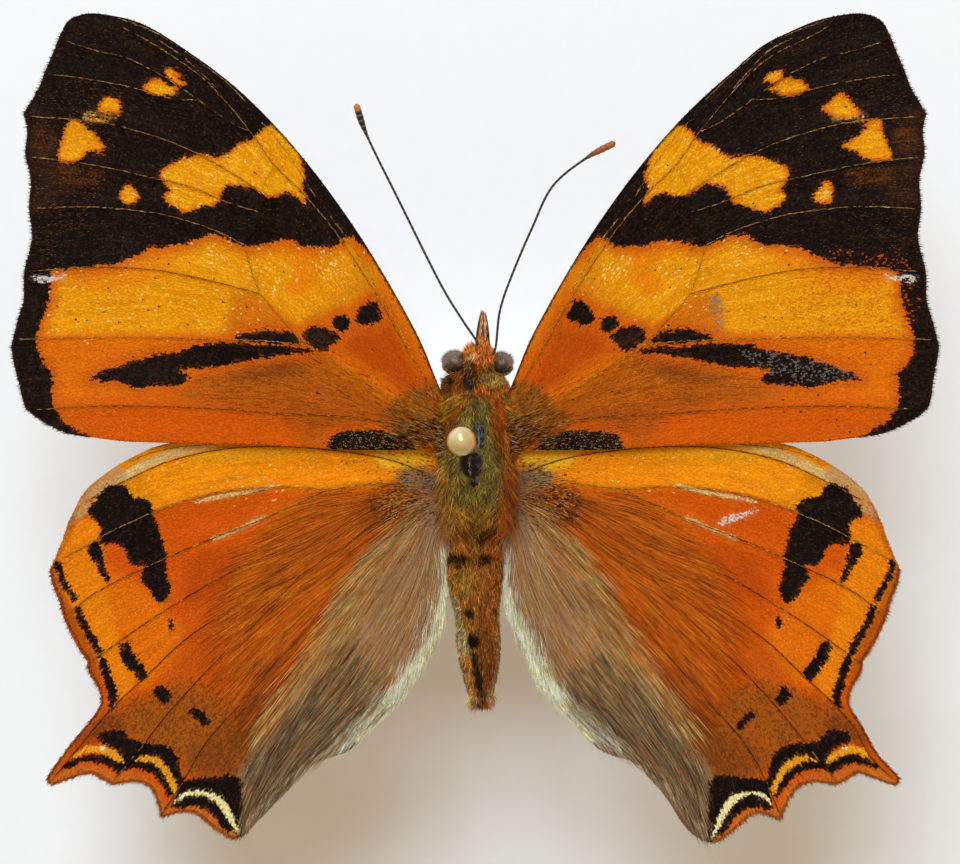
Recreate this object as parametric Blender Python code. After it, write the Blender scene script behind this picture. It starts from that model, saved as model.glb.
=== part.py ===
"""An orange mapwing butterfly, set with spread wings on its insect pin in a strip of white foam.

Metres, +Z up. +Y points to the head and +X to the animal's right side. The origin lies on the
underside of the foam strip, below the wing roots. Tables are in millimetres: a wing point is
(u, v), with u outwards from the middle of the body and v forwards from the wing roots.
"""

import math

import bmesh
import bpy
from mathutils import Vector
from mathutils.geometry import delaunay_2d_cdt

MM = 0.001
LEFT = -1
RIGHT = 1
SIDES = (("left", LEFT), ("right", RIGHT))

# Space that touching pieces keep.
GAP = 0.3

# Wings: heights of their upper faces at the middle of the body, and their common form.
FOREWING_Z = 28.0
HINDWING_Z = 27.05
WING_THICKNESS = 0.5
WING_DIHEDRAL = math.radians(2.5)
WING_ARCH = 0.3
WING_DROOP = 0.5
HALF_SPAN = 25.1
WING_REACH = 23.2
VEIN_HALF_WIDTH = 0.26
VEIN_HEIGHT = 0.15
VEIN_STEP = 1.15
BORDER_STEP = 0.75
FILL_STEP = 2.0
FILL_CLEARANCE = 0.75

# Outline of a forewing, in runs that meet at corners.
FOREWING_RUNS = (
    # Front edge, root to tip.
    ((0.80, 1.55), (1.80, 2.66), (3.26, 6.03), (6.24, 11.13), (9.50, 15.58), (12.76, 19.00),
     (16.02, 21.45), (18.19, 22.70), (20.36, 23.20), (21.45, 23.13), (22.10, 22.75), (22.45, 22.10)),
    # Outer edge down to its tooth.
    ((22.45, 22.10), (22.80, 21.20), (23.24, 20.15), (23.60, 19.20), (24.43, 17.75)),
    # Hollow stretch, scalloped between the vein ends.
    ((24.43, 17.75), (24.24, 16.80), (24.33, 15.60), (24.05, 14.17), (24.13, 12.65),
     (23.98, 11.00), (24.38, 9.18), (24.43, 7.66), (24.75, 6.50), (25.09, 5.15)),
    # Rounded rear corner.
    ((25.09, 5.15), (24.97, 4.30), (24.71, 3.25), (24.42, 2.10), (24.00, 1.50), (22.53, 0.60),
     (20.91, 0.22)),
    # Rear edge, back to the root.
    ((20.91, 0.22), (18.73, -0.03), (14.93, -0.14), (10.59, -0.27), (6.24, -0.49), (0.80, -0.45)),
)

# Veins of a forewing, root or fork first.
FOREWING_VEINS = (
    # Radius, along the front edge to the tip.
    ((1.6, 1.6), (3.8, 5.2), (5.2, 7.7), (7.4, 11.1), (9.2, 13.3), (10.9, 15.0), (12.2, 16.8),
     (13.6, 18.5), (14.9, 19.8), (16.9, 21.2), (19.2, 22.5)),
    ((12.2, 16.8), (13.3, 17.3), (15.0, 18.5), (16.6, 19.6), (18.7, 20.7), (20.6, 21.2), (22.2, 21.7)),
    ((15.0, 18.5), (16.6, 18.6), (18.7, 19.2), (21.4, 19.7), (23.2, 19.9)),
    # Median veins.
    ((11.6, 13.5), (13.3, 14.6), (15.5, 15.8), (17.6, 16.6), (20.4, 17.3), (24.1, 17.6)),
    ((11.6, 12.4), (13.3, 12.9), (15.5, 13.8), (17.6, 14.3), (20.9, 15.0), (24.1, 15.4)),
    ((12.5, 10.6), (13.8, 11.3), (15.5, 11.9), (17.6, 12.4), (20.9, 12.7), (23.9, 12.6)),
    # Cubital veins and their stem, which closes the cell at its far end.
    ((11.7, 8.0), (14.4, 8.7), (17.6, 9.3), (20.9, 9.4), (24.1, 9.2)),
    ((9.1, 5.2), (11.0, 5.4), (13.3, 5.5), (17.6, 5.6), (20.9, 5.6), (24.8, 5.5)),
    ((1.6, 0.9), (4.1, 2.0), (5.4, 2.8), (7.3, 4.0), (9.1, 5.2), (10.3, 6.4), (11.7, 8.0),
     (12.2, 9.5), (12.5, 10.6), (11.6, 12.4), (11.6, 13.5), (10.9, 15.0)),
    # Anal vein, near the rear edge.
    ((3.1, 0.6), (5.3, 1.1), (7.4, 1.35), (10.6, 1.5), (15.2, 1.8), (19.8, 1.9), (23.9, 1.7)),
)

# Outline of a hindwing.
HINDWING_RUNS = (
    # Front edge, most of it under the forewing.
    ((0.80, -0.76), (3.53, 0.20), (7.87, 0.49), (12.22, 0.38), (14.66, 0.16), (16.83, -0.16),
     (18.19, -0.65), (19.82, -1.57), (21.18, -2.71), (21.99, -4.18), (22.53, -5.65), (23.10, -6.95)),
    # Outer edge in to the notch above the tail.
    ((23.10, -6.95), (22.98, -7.70), (22.55, -8.80), (22.34, -9.60), (21.70, -11.00), (21.05, -12.00)),
    ((21.05, -12.00), (20.98, -12.60), (20.50, -13.40), (20.34, -14.10), (20.53, -14.72),
     (21.18, -15.58), (22.21, -16.83), (23.02, -17.97), (23.29, -18.42)),
    # Lower edge, with a lobe between each two veins.
    ((23.29, -18.42), (23.02, -18.70), (21.99, -18.35), (21.01, -18.08), (20.20, -18.46),
     (19.66, -18.70)),
    ((19.66, -18.70), (18.62, -18.55), (17.76, -18.79), (17.30, -19.60), (17.05, -20.50)),
    ((17.05, -20.50), (16.13, -20.22), (15.20, -20.31), (14.17, -21.12), (13.19, -21.67),
     (12.43, -21.34)),
    # Inner edge, up beside the abdomen.
    ((12.43, -21.34), (11.57, -20.47), (10.48, -19.33), (9.50, -18.35), (8.69, -17.54),
     (7.06, -17.00), (6.14, -16.29), (5.16, -15.20), (4.07, -14.06), (2.99, -12.65), (2.12, -11.08),
     (1.57, -9.61), (1.50, -8.09), (1.45, -6.46), (1.30, -5.10), (0.80, -4.83)),
)

# Veins of a hindwing, root or fork first.
HINDWING_VEINS = (
    ((2.8, -1.7), (5.2, -0.9), (9.5, -0.35), (13.3, -0.4), (16.6, -1.1), (19.3, -2.3), (21.0, -3.2)),
    ((2.8, -2.5), (5.2, -2.3), (7.9, -2.6), (11.1, -2.5), (14.9, -3.0), (18.7, -4.4), (22.3, -6.3)),
    ((7.9, -2.6), (11.4, -4.2), (13.8, -5.1), (17.1, -6.5), (20.4, -8.1), (22.1, -9.4)),
    ((9.5, -5.6), (11.1, -6.2), (13.8, -7.4), (17.6, -9.7), (20.9, -12.0)),
    # The vein that runs out into the tail.
    ((9.5, -7.3), (12.2, -8.5), (15.5, -10.6), (17.8, -12.7), (19.9, -14.7), (22.0, -17.2),
     (22.9, -18.3)),
    ((9.5, -7.3), (11.6, -9.6), (14.1, -12.0), (16.6, -14.7), (18.5, -17.1), (19.6, -18.4)),
    ((8.4, -9.4), (10.0, -11.1), (12.8, -14.3), (14.7, -16.5), (16.0, -18.7), (17.0, -20.2)),
    ((3.0, -4.6), (4.1, -6.5), (7.3, -11.3), (9.5, -14.6), (11.7, -18.1), (12.9, -21.2)),
    # Stems, and the vein that closes the cell.
    ((3.0, -3.4), (5.2, -4.3), (7.3, -5.9), (9.5, -7.3), (9.5, -5.6), (7.9, -2.6)),
    ((3.0, -4.0), (5.7, -6.5), (8.4, -9.4)),
)

# Where the right wings differ from a mirrored left one: (u, v) there, and how far they are moved.
RIGHT_FOREWING_SHIFTS = (((15.5, 21.3), (0.0, 0.3)), ((24.3, 1.7), (0.2, 0.0)))
RIGHT_HINDWING_SHIFTS = (
    ((22.4, -17.0), (-0.5, 0.0)),
    ((17.1, -20.5), (-0.4, -0.15)),
    ((11.6, -20.6), (0.0, -0.7)),
    ((2.1, -11.0), (0.4, 0.0)),
)
SHIFT_REACH = 1.6

# Body rings, front to back: (v, middle x, middle z, half width, half height).
BODY_SIDES = 24
THORAX_RINGS = (
    (3.15, 0.00, 27.00, 1.50, 1.00), (2.95, 0.00, 27.00, 1.90, 1.35), (2.60, 0.02, 27.00, 2.06, 1.66),
    (2.23, 0.05, 27.00, 2.12, 1.90), (1.14, 0.10, 27.00, 2.15, 2.20), (0.00, 0.12, 27.00, 2.25, 2.30),
    (-1.57, 0.14, 26.98, 2.25, 2.30), (-3.20, 0.14, 26.95, 2.18, 2.18), (-4.29, 0.12, 26.92, 1.98, 1.95),
    (-5.00, 0.08, 26.90, 1.75, 1.75), (-5.40, 0.05, 26.90, 1.45, 1.45),
)
ABDOMEN_RINGS = (
    (-5.70, 0.00, 26.88, 1.42, 1.40), (-6.20, 0.00, 26.85, 1.62, 1.55), (-7.50, 0.00, 26.80, 1.60, 1.55),
    (-8.60, 0.03, 26.75, 1.38, 1.45), (-9.60, 0.12, 26.70, 1.22, 1.40), (-11.30, 0.20, 26.62, 1.22, 1.38),
    (-12.40, 0.24, 26.58, 1.06, 1.20), (-13.30, 0.28, 26.55, 0.84, 0.95), (-14.10, 0.34, 26.52, 0.58, 0.68),
    (-14.70, 0.38, 26.50, 0.25, 0.30),
)
HEAD_RINGS = (
    (5.35, 0.25, 26.80, 0.40, 0.48), (5.05, 0.22, 26.85, 0.76, 0.86), (4.60, 0.19, 26.90, 1.00, 1.08),
    (4.10, 0.17, 26.93, 1.05, 1.12), (3.65, 0.15, 26.95, 0.92, 0.95), (3.45, 0.14, 26.95, 0.72, 0.72),
)
RING_STEP = 0.75

# Eyes: middle and half sizes.
EYES = {
    LEFT: ((-1.10, 4.30, 27.00), (0.75, 0.68, 0.95)),
    RIGHT: ((1.46, 4.22, 26.93), (0.66, 0.68, 0.95)),
}

# Palps: middle of the root and of the tip, with half width and half height along them.
PALPS = {
    LEFT: ((0.02, 4.60, 26.35), (0.34, 7.05, 27.25)),
    RIGHT: ((0.74, 4.60, 26.35), (0.76, 6.85, 27.15)),
}
PALP_HALF_WIDTHS = (0.22, 0.22, 0.21, 0.17, 0.08)
PALP_HALF_HEIGHTS = (0.30, 0.36, 0.34, 0.24, 0.10)

# Feelers: points along them and their thickness. The club at the tip starts at a share of the length
# and swells and shrinks like a share of half a wave.
ANTENNAE = {
    LEFT: ((0.00, 4.70, 27.35), (0.14, 5.30, 27.78), (-0.70, 6.60, 28.05), (-1.90, 8.58, 28.30),
           (-4.07, 12.92, 28.80), (-5.81, 16.45, 29.20), (-6.45, 18.25, 29.45)),
    RIGHT: ((0.85, 4.60, 27.35), (1.12, 5.10, 27.70), (1.36, 7.11, 28.05), (2.00, 9.00, 28.30),
            (3.10, 11.57, 28.65), (4.20, 13.80, 28.95), (5.97, 15.28, 29.25), (7.60, 16.15, 29.45)),
}
ANTENNA_RADIUS = 0.25
CLUB_RADIUS = 0.34
CLUB_START = 0.82
CLUB_WAVE = 0.85
THIN_SIDES = 8

# Tongue, coiled under the head in the plane of the body.
COIL_MIDDLE = (0.36, 4.80, 24.85)
COIL_RADII = (0.78, 0.20)
COIL_TURNS = 1.25
COIL_TUBE_RADII = (0.20, 0.11)
COIL_POINTS = 22

# Legs, folded below the thorax: points of the right one from the hip, and radii along them.
LEGS = {
    "foreleg": ((0.60, 2.10, 25.60), (0.80, 2.75, 24.75), (1.00, 3.60, 24.45), (0.95, 4.50, 24.75)),
    "midleg": ((0.80, 0.90, 25.30), (1.10, 0.85, 24.20), (2.30, 0.35, 23.25), (1.60, -1.20, 22.80),
               (1.00, -2.60, 22.60), (0.85, -5.40, 22.60)),
    "hindleg": ((0.90, -1.90, 25.30), (1.20, -2.10, 24.30), (2.30, -2.90, 23.60), (2.00, -4.80, 23.70),
                (1.65, -6.60, 23.80), (1.25, -9.60, 24.10)),
}
LEG_RADII = (0.30, 0.25)

# Pin, through the thorax and down into the foam.
PIN_X = -0.70
PIN_RADIUS = 0.25
PIN_TIP_Z = 2.0
PIN_TIP_LENGTH = 1.5
PIN_TIP_RADIUS = 0.06
PIN_TOP_Z = 40.0
PIN_HEAD_RADIUS = 0.72
PIN_BORE_RADIUS = 0.52
PIN_SIDES = 16
PIN_HEAD_RINGS = 8

# Foam strip, small enough to lie hidden under wings and body from above.
FOAM_WIDTH = 26.0
FOAM_FRONT = 3.0
FOAM_BACK = -5.0
FOAM_HEIGHT = 10.0
FOAM_EDGE = 0.35
FOAM_HOLE_BOTTOM = 1.7


def clear_scene():
    for thing in list(bpy.data.objects):
        bpy.data.objects.remove(thing, do_unlink=True)


def material(name, colour, roughness, metallic=0.0):
    made = bpy.data.materials.new(name)
    made.use_nodes = True
    made.diffuse_color = (*colour, 1.0)
    shader = made.node_tree.nodes["Principled BSDF"]
    shader.inputs["Base Color"].default_value = (*colour, 1.0)
    shader.inputs["Roughness"].default_value = roughness
    shader.inputs["Metallic"].default_value = metallic
    return made


def add_object(name, mesh_in_mm, finish=None):
    """Makes an object of a bmesh that is in millimetres, with its faces turned outwards."""
    bmesh.ops.recalc_face_normals(mesh_in_mm, faces=mesh_in_mm.faces)
    bmesh.ops.scale(mesh_in_mm, vec=(MM, MM, MM), verts=mesh_in_mm.verts)
    mesh = bpy.data.meshes.new(name)
    mesh_in_mm.to_mesh(mesh)
    mesh_in_mm.free()
    mesh.shade_smooth()
    mesh.set_sharp_from_angle(angle=math.radians(40))
    made = bpy.data.objects.new(name, mesh)
    bpy.context.scene.collection.objects.link(made)
    if finish:
        mesh.materials.append(finish)
    else:
        made.hide_render = True
        made.display_type = "WIRE"
    return made


def cut(target, *cutters):
    for cutter in cutters:
        boolean = target.modifiers.new("cut " + cutter.name, "BOOLEAN")
        boolean.operation = "DIFFERENCE"
        boolean.solver = "EXACT"
        boolean.object = cutter


def curve_point(points, place):
    """The point at place, counted in stretches, of the smooth curve through the points."""
    index = min(int(place), len(points) - 2)
    t = place - index
    p1, p2 = Vector(points[index]), Vector(points[index + 1])
    p0 = Vector(points[index - 1]) if index else 2 * p1 - p2
    p3 = Vector(points[index + 2]) if index + 2 < len(points) else 2 * p2 - p1
    return 0.5 * (2 * p1 + (p2 - p0) * t + (2 * p0 - 5 * p1 + 4 * p2 - p3) * t**2
                  + (3 * p1 - p0 - 3 * p2 + p3) * t**3)


def smooth_run(points, step):
    """Points about one step apart on the smooth curve through the given ones, ends included."""
    found = [Vector(points[0])]
    for index in range(len(points) - 1):
        length = (Vector(points[index + 1]) - Vector(points[index])).length
        count = max(1, round(length / step))
        found += [curve_point(points, index + k / count) for k in range(1, count + 1)]
    return found


def moved(point, shifts):
    """A wing point after the shifts near it, each of which fades out with distance."""
    total = Vector(point)
    for place, shift in shifts:
        distance = (Vector(point) - Vector(place)).length
        total += Vector(shift) * math.exp(-((distance / SHIFT_REACH) ** 2))
    return total


def distance_to_chain(point, chain):
    nearest = math.inf
    for start, end in zip(chain, chain[1:]):
        along = end - start
        t = max(0.0, min(1.0, (point - start).dot(along) / along.length_squared))
        nearest = min(nearest, (point - start - along * t).length)
    return nearest


def inside(point, border):
    crossings = 0
    for start, end in zip(border, border[1:] + border[:1]):
        if (start.y > point.y) != (end.y > point.y):
            crossings += point.x < start.x + (point.y - start.y) / (end.y - start.y) * (end.x - start.x)
    return crossings % 2 == 1


def wing_rise(point):
    """Height of a wing point over the wing root: a shallow upward slope, arched and drooping at the rim."""
    slope = math.tan(WING_DIHEDRAL) * point.x
    arch = WING_ARCH * math.sin(math.pi * min(1.0, point.x / HALF_SPAN))
    droop = WING_DROOP * (point.y / WING_REACH) ** 2
    return slope + arch - droop


def flank_points(chain, all_chains):
    """Points on both sides of a vein, where its ridge ends, clear of the other veins."""
    found = []
    for before, here, after in zip(chain, chain[1:], chain[2:]):
        along = (after - before).normalized()
        across = Vector((-along.y, along.x)) * VEIN_HALF_WIDTH
        for point in (here + across, here - across):
            if all(distance_to_chain(point, other) > 0.8 * VEIN_HALF_WIDTH for other in all_chains):
                found.append(point)
    return found


def fill_points(border, chains):
    """Points of an even lattice between the veins."""
    closed_border = border + border[:1]
    low_u, high_u = min(p.x for p in border), max(p.x for p in border)
    low_v, high_v = min(p.y for p in border), max(p.y for p in border)
    row_height = FILL_STEP * math.sqrt(3) / 2
    found = []
    for row in range(int((high_v - low_v) / row_height) + 1):
        for column in range(int((high_u - low_u) / FILL_STEP) + 1):
            u = low_u + (column + 0.5 * (row % 2)) * FILL_STEP
            point = Vector((u, low_v + row * row_height))
            if not inside(point, border) or distance_to_chain(point, closed_border) < FILL_CLEARANCE:
                continue
            if all(distance_to_chain(point, chain) > FILL_CLEARANCE for chain in chains):
                found.append(point)
    return found


def add_wing(name, side, runs, veins, shifts, plane_z, finish):
    """A thin wing whose upper and lower faces are split alike, with its veins raised on top."""
    side_shifts = shifts if side == RIGHT else ()
    border = []
    for run in runs:
        border += [moved(p, side_shifts) for p in smooth_run(run, BORDER_STEP)[:-1]]
    chains = [[moved(p, side_shifts) for p in smooth_run(vein, VEIN_STEP)] for vein in veins]
    points = list(border)
    edges = []
    for chain in chains:
        first = len(points)
        points += chain
        edges += [(first + k, first + k + 1) for k in range(len(chain) - 1)]
    for chain in chains:
        points += flank_points(chain, chains)
    points += fill_points(border, chains)
    ring = [list(range(len(border)))]
    flat, _, faces, _, _, _ = delaunay_2d_cdt(points, edges, ring, 1, 1e-3)

    wing = bmesh.new()
    top, bottom = [], []
    for point in flat:
        height = plane_z + wing_rise(point)
        nearest = min(distance_to_chain(point, chain) for chain in chains)
        ridge = VEIN_HEIGHT * max(0.0, 1 - nearest / VEIN_HALF_WIDTH)
        top.append(wing.verts.new((side * point.x, point.y, height + ridge)))
        bottom.append(wing.verts.new((side * point.x, point.y, height - WING_THICKNESS)))
    for face in faces:
        wing.faces.new([top[k] for k in face])
        wing.faces.new([bottom[k] for k in reversed(face)])
    rim = [edge for edge in wing.edges if len(edge.link_faces) == 1]
    below = dict(zip(top, bottom))
    for edge in rim:
        start, end = edge.verts
        if start in below and end in below:
            wing.faces.new((start, below[start], end))
            wing.faces.new((end, below[start], below[end]))
    return add_object(name, wing, finish)


def close_with_fan(mesh, ring, middle):
    tip = mesh.verts.new(middle)
    for start, end in zip(ring, ring[1:] + ring[:1]):
        mesh.faces.new((start, end, tip))


def join_rings(mesh, first, second):
    for k in range(len(first)):
        after = (k + 1) % len(first)
        mesh.faces.new((first[k], first[after], second[k]))
        mesh.faces.new((first[after], second[after], second[k]))


def add_body_length(name, rings, finish=None, grow=0.0):
    """A rounded length of the body through its rings, grown all round where it serves as a cutter."""
    length = bmesh.new()
    loops = []
    for v, middle_x, middle_z, half_width, half_height in smooth_run(rings, RING_STEP):
        loop = []
        for k in range(BODY_SIDES):
            angle = 2 * math.pi * k / BODY_SIDES
            x = middle_x + (half_width + grow) * math.cos(angle)
            z = middle_z + (half_height + grow) * math.sin(angle)
            loop.append(length.verts.new((x, v, z)))
        loops.append(loop)
    for vert in loops[0]:
        vert.co.y += grow
    for vert in loops[-1]:
        vert.co.y -= grow
    for before, after in zip(loops, loops[1:]):
        join_rings(length, before, after)
    for loop in (loops[0], loops[-1]):
        middle = sum((vert.co for vert in loop), Vector()) / len(loop)
        close_with_fan(length, loop, middle)
    return add_object(name, length, finish)


def add_tube(name, path, half_sizes, finish, sides=THIN_SIDES):
    """A tube along a path, with its half width and half height given at each point of it."""
    tube = bmesh.new()
    loops = []
    across = Vector((1, 0, 0))
    for index, point in enumerate(path):
        before, after = path[max(0, index - 1)], path[min(len(path) - 1, index + 1)]
        along = (after - before).normalized()
        across = (across - along * across.dot(along)).normalized()
        upward = across.cross(along)
        half_width, half_height = half_sizes[index]
        loop = []
        for k in range(sides):
            angle = 2 * math.pi * k / sides
            offset = across * half_width * math.cos(angle) + upward * half_height * math.sin(angle)
            loop.append(tube.verts.new(point + offset))
        loops.append(loop)
    for before, after in zip(loops, loops[1:]):
        join_rings(tube, before, after)
    close_with_fan(tube, loops[0], path[0])
    end_reach = (path[-1] - path[-2]).normalized() * min(half_sizes[-1])
    close_with_fan(tube, loops[-1], path[-1] + end_reach)
    return add_object(name, tube, finish)


def add_eye(name, side, finish):
    middle, half_sizes = EYES[side]
    eye = bmesh.new()
    bmesh.ops.create_uvsphere(eye, u_segments=16, v_segments=10, radius=1.0)
    bmesh.ops.scale(eye, vec=half_sizes, verts=eye.verts)
    bmesh.ops.translate(eye, vec=middle, verts=eye.verts)
    return add_object(name, eye, finish)


def add_palp(name, side, finish):
    root, tip = (Vector(place) for place in PALPS[side])
    count = len(PALP_HALF_WIDTHS)
    path = [root.lerp(tip, k / (count - 1)) for k in range(count)]
    return add_tube(name, path, list(zip(PALP_HALF_WIDTHS, PALP_HALF_HEIGHTS)), finish)


def add_antenna(name, side, finish):
    path = smooth_run(ANTENNAE[side], 1.0)
    half_sizes = []
    for index in range(len(path)):
        into_club = max(0.0, index / (len(path) - 1) - CLUB_START) / (1 - CLUB_START)
        swell = math.sin(math.pi * CLUB_WAVE * into_club)
        radius = ANTENNA_RADIUS + (CLUB_RADIUS - ANTENNA_RADIUS) * swell
        half_sizes.append((radius, radius))
    return add_tube(name, path, half_sizes, finish)


def add_tongue(name, finish):
    middle = Vector(COIL_MIDDLE)
    path, half_sizes = [], []
    for k in range(COIL_POINTS):
        t = k / (COIL_POINTS - 1)
        turn = 2 * math.pi * (0.25 - COIL_TURNS * t)
        radius = COIL_RADII[0] + (COIL_RADII[1] - COIL_RADII[0]) * t
        path.append(middle + Vector((0, math.cos(turn), math.sin(turn))) * radius)
        tube_radius = COIL_TUBE_RADII[0] + (COIL_TUBE_RADII[1] - COIL_TUBE_RADII[0]) * t
        half_sizes.append((tube_radius, tube_radius))
    return add_tube(name, path, half_sizes, finish)


def add_leg(name, side, points, finish):
    path = smooth_run([(side * x, y, z) for x, y, z in points], 0.9)
    half_sizes = []
    for index in range(len(path)):
        radius = LEG_RADII[0] + (LEG_RADII[1] - LEG_RADII[0]) * index / (len(path) - 1)
        half_sizes.append((radius, radius))
    return add_tube(name, path, half_sizes, finish)


def add_turned(name, profile, finish=None):
    """A turned piece on the pin's axis, from (radius, height) pairs running upwards."""
    turned = bmesh.new()
    loops = []
    for radius, z in profile:
        loop = []
        for k in range(PIN_SIDES):
            angle = 2 * math.pi * k / PIN_SIDES
            loop.append(turned.verts.new((PIN_X + radius * math.cos(angle), radius * math.sin(angle), z)))
        loops.append(loop)
    for below, above in zip(loops, loops[1:]):
        join_rings(turned, below, above)
    for loop, (_, z) in ((loops[0], profile[0]), (loops[-1], profile[-1])):
        close_with_fan(turned, loop, (PIN_X, 0, z))
    return add_object(name, turned, finish)


def add_pin(finish):
    head_z = PIN_TOP_Z - PIN_HEAD_RADIUS
    profile = [(PIN_TIP_RADIUS, PIN_TIP_Z), (PIN_RADIUS, PIN_TIP_Z + PIN_TIP_LENGTH)]
    first = math.asin(PIN_RADIUS / PIN_HEAD_RADIUS)
    for k in range(PIN_HEAD_RINGS):
        angle = first + (math.pi - first) * k / PIN_HEAD_RINGS
        profile.append((PIN_HEAD_RADIUS * math.sin(angle), head_z - PIN_HEAD_RADIUS * math.cos(angle)))
    return add_turned("pin", profile, finish)


def add_foam(finish):
    foam = bmesh.new()
    bmesh.ops.create_cube(foam, size=1.0)
    bmesh.ops.scale(foam, vec=(FOAM_WIDTH, FOAM_FRONT - FOAM_BACK, FOAM_HEIGHT), verts=foam.verts)
    middle = (0, (FOAM_FRONT + FOAM_BACK) / 2, FOAM_HEIGHT / 2)
    bmesh.ops.translate(foam, vec=middle, verts=foam.verts)
    upper = [edge for edge in foam.edges if max(vert.co.z for vert in edge.verts) > FOAM_HEIGHT / 2]
    bmesh.ops.bevel(foam, geom=upper, offset=FOAM_EDGE, segments=2, affect="EDGES")
    hole = [(PIN_BORE_RADIUS, FOAM_HOLE_BOTTOM), (PIN_BORE_RADIUS, FOAM_HEIGHT + 1)]
    made = add_object("stand_base", foam, finish)
    cut(made, add_turned("pin hole", hole))
    return made


def build():
    clear_scene()
    wing_finish = material("orange wing scales", (0.62, 0.16, 0.02), 0.75)
    hair_finish = material("olive brown body hair", (0.16, 0.11, 0.04), 0.9)
    belly_finish = material("golden brown abdomen", (0.30, 0.18, 0.06), 0.85)
    eye_finish = material("dark brown eye", (0.06, 0.03, 0.03), 0.35)
    palp_finish = material("rust palp scales", (0.40, 0.14, 0.04), 0.85)
    feeler_finish = material("dark feeler", (0.05, 0.03, 0.02), 0.5)
    leg_finish = material("tan leg scales", (0.35, 0.22, 0.10), 0.8)
    pin_finish = material("pearly pin", (0.72, 0.62, 0.38), 0.3, 0.6)
    foam_finish = material("white foam", (0.85, 0.85, 0.84), 0.9)

    thorax_cutter = add_body_length("thorax clearance", THORAX_RINGS, grow=GAP)
    abdomen_cutter = add_body_length("abdomen clearance", ABDOMEN_RINGS, grow=GAP)
    head_cutter = add_body_length("head clearance", HEAD_RINGS, grow=GAP)
    bore = [(PIN_BORE_RADIUS, 20.0), (PIN_BORE_RADIUS, 34.0)]

    thorax = add_body_length("thorax", THORAX_RINGS, hair_finish)
    cut(thorax, add_turned("thorax bore", bore))
    add_body_length("abdomen", ABDOMEN_RINGS, belly_finish)
    add_body_length("head", HEAD_RINGS, hair_finish)
    cut(add_tongue("proboscis", feeler_finish), head_cutter)
    for side_name, side in SIDES:
        forewing = add_wing("forewing_" + side_name, side, FOREWING_RUNS, FOREWING_VEINS,
                            RIGHT_FOREWING_SHIFTS, FOREWING_Z, wing_finish)
        hindwing = add_wing("hindwing_" + side_name, side, HINDWING_RUNS, HINDWING_VEINS,
                            RIGHT_HINDWING_SHIFTS, HINDWING_Z, wing_finish)
        cut(forewing, thorax_cutter)
        cut(hindwing, thorax_cutter, abdomen_cutter)
        cut(add_eye("eye_" + side_name, side, eye_finish), head_cutter)
        cut(add_palp("palp_" + side_name, side, palp_finish), head_cutter)
        cut(add_antenna("antenna_" + side_name, side, feeler_finish), head_cutter)
        for leg_name, points in LEGS.items():
            leg = add_leg(leg_name + "_" + side_name, side, points, leg_finish)
            cut(leg, thorax_cutter)
    add_pin(pin_finish)
    add_foam(foam_finish)


build()
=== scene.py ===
"""Looks of a dried orange mapwing butterfly, spread flat on its pin in a strip of white foam.

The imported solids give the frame. Wings, coat, eyes, feelers, legs, pin and foam are modelled in their
place at the size of the real ones. Tables are in millimetres, or in photo pixels where a name or a
heading says so.
"""

from __future__ import annotations

import logging
import math
from collections.abc import Callable, Sequence
from dataclasses import dataclass, field
from enum import Enum

import bpy
import numpy as np
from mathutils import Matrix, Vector
from mathutils.geometry import delaunay_2d_cdt

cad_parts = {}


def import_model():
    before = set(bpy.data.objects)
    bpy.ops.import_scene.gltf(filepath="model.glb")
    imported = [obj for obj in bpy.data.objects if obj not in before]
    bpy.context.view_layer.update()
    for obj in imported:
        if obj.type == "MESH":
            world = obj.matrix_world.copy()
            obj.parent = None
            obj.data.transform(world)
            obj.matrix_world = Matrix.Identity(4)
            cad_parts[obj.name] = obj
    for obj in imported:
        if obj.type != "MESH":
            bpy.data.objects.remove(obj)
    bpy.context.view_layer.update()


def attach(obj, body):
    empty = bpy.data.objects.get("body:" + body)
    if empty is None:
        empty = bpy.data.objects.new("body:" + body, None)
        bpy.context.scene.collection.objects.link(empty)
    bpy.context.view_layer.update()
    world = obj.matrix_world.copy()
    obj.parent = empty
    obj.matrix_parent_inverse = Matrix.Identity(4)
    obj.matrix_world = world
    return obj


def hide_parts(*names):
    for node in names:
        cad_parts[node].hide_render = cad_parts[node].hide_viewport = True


LOG = logging.getLogger("mapwing")
MM = 0.001
Array = np.ndarray
Points = Sequence[tuple[float, ...]]

# The photo: its scale in the plane of the wings, and the pixel of the middle of the wing roots.
MM_PER_PX = 0.0543
ROOT_PX = (475.0, 441.0)

# A scale or hair counts as dark where its red, green and blue light together are below this.
DARK_LIGHT = 0.12


class Side(Enum):
    """The two sides of the animal, as the sign of X."""

    LEFT = -1
    RIGHT = 1

    @property
    def word(self) -> str:
        """The side's name in piece and node names."""
        return self.name.lower()


class Pair(Enum):
    """The two pairs of wings, by the names of their nodes."""

    FORE = "forewing"
    HIND = "hindwing"


class Face(Enum):
    """The two faces of a wing, as the sign of their outward normal."""

    UPPER = 1
    UNDER = -1


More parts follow.
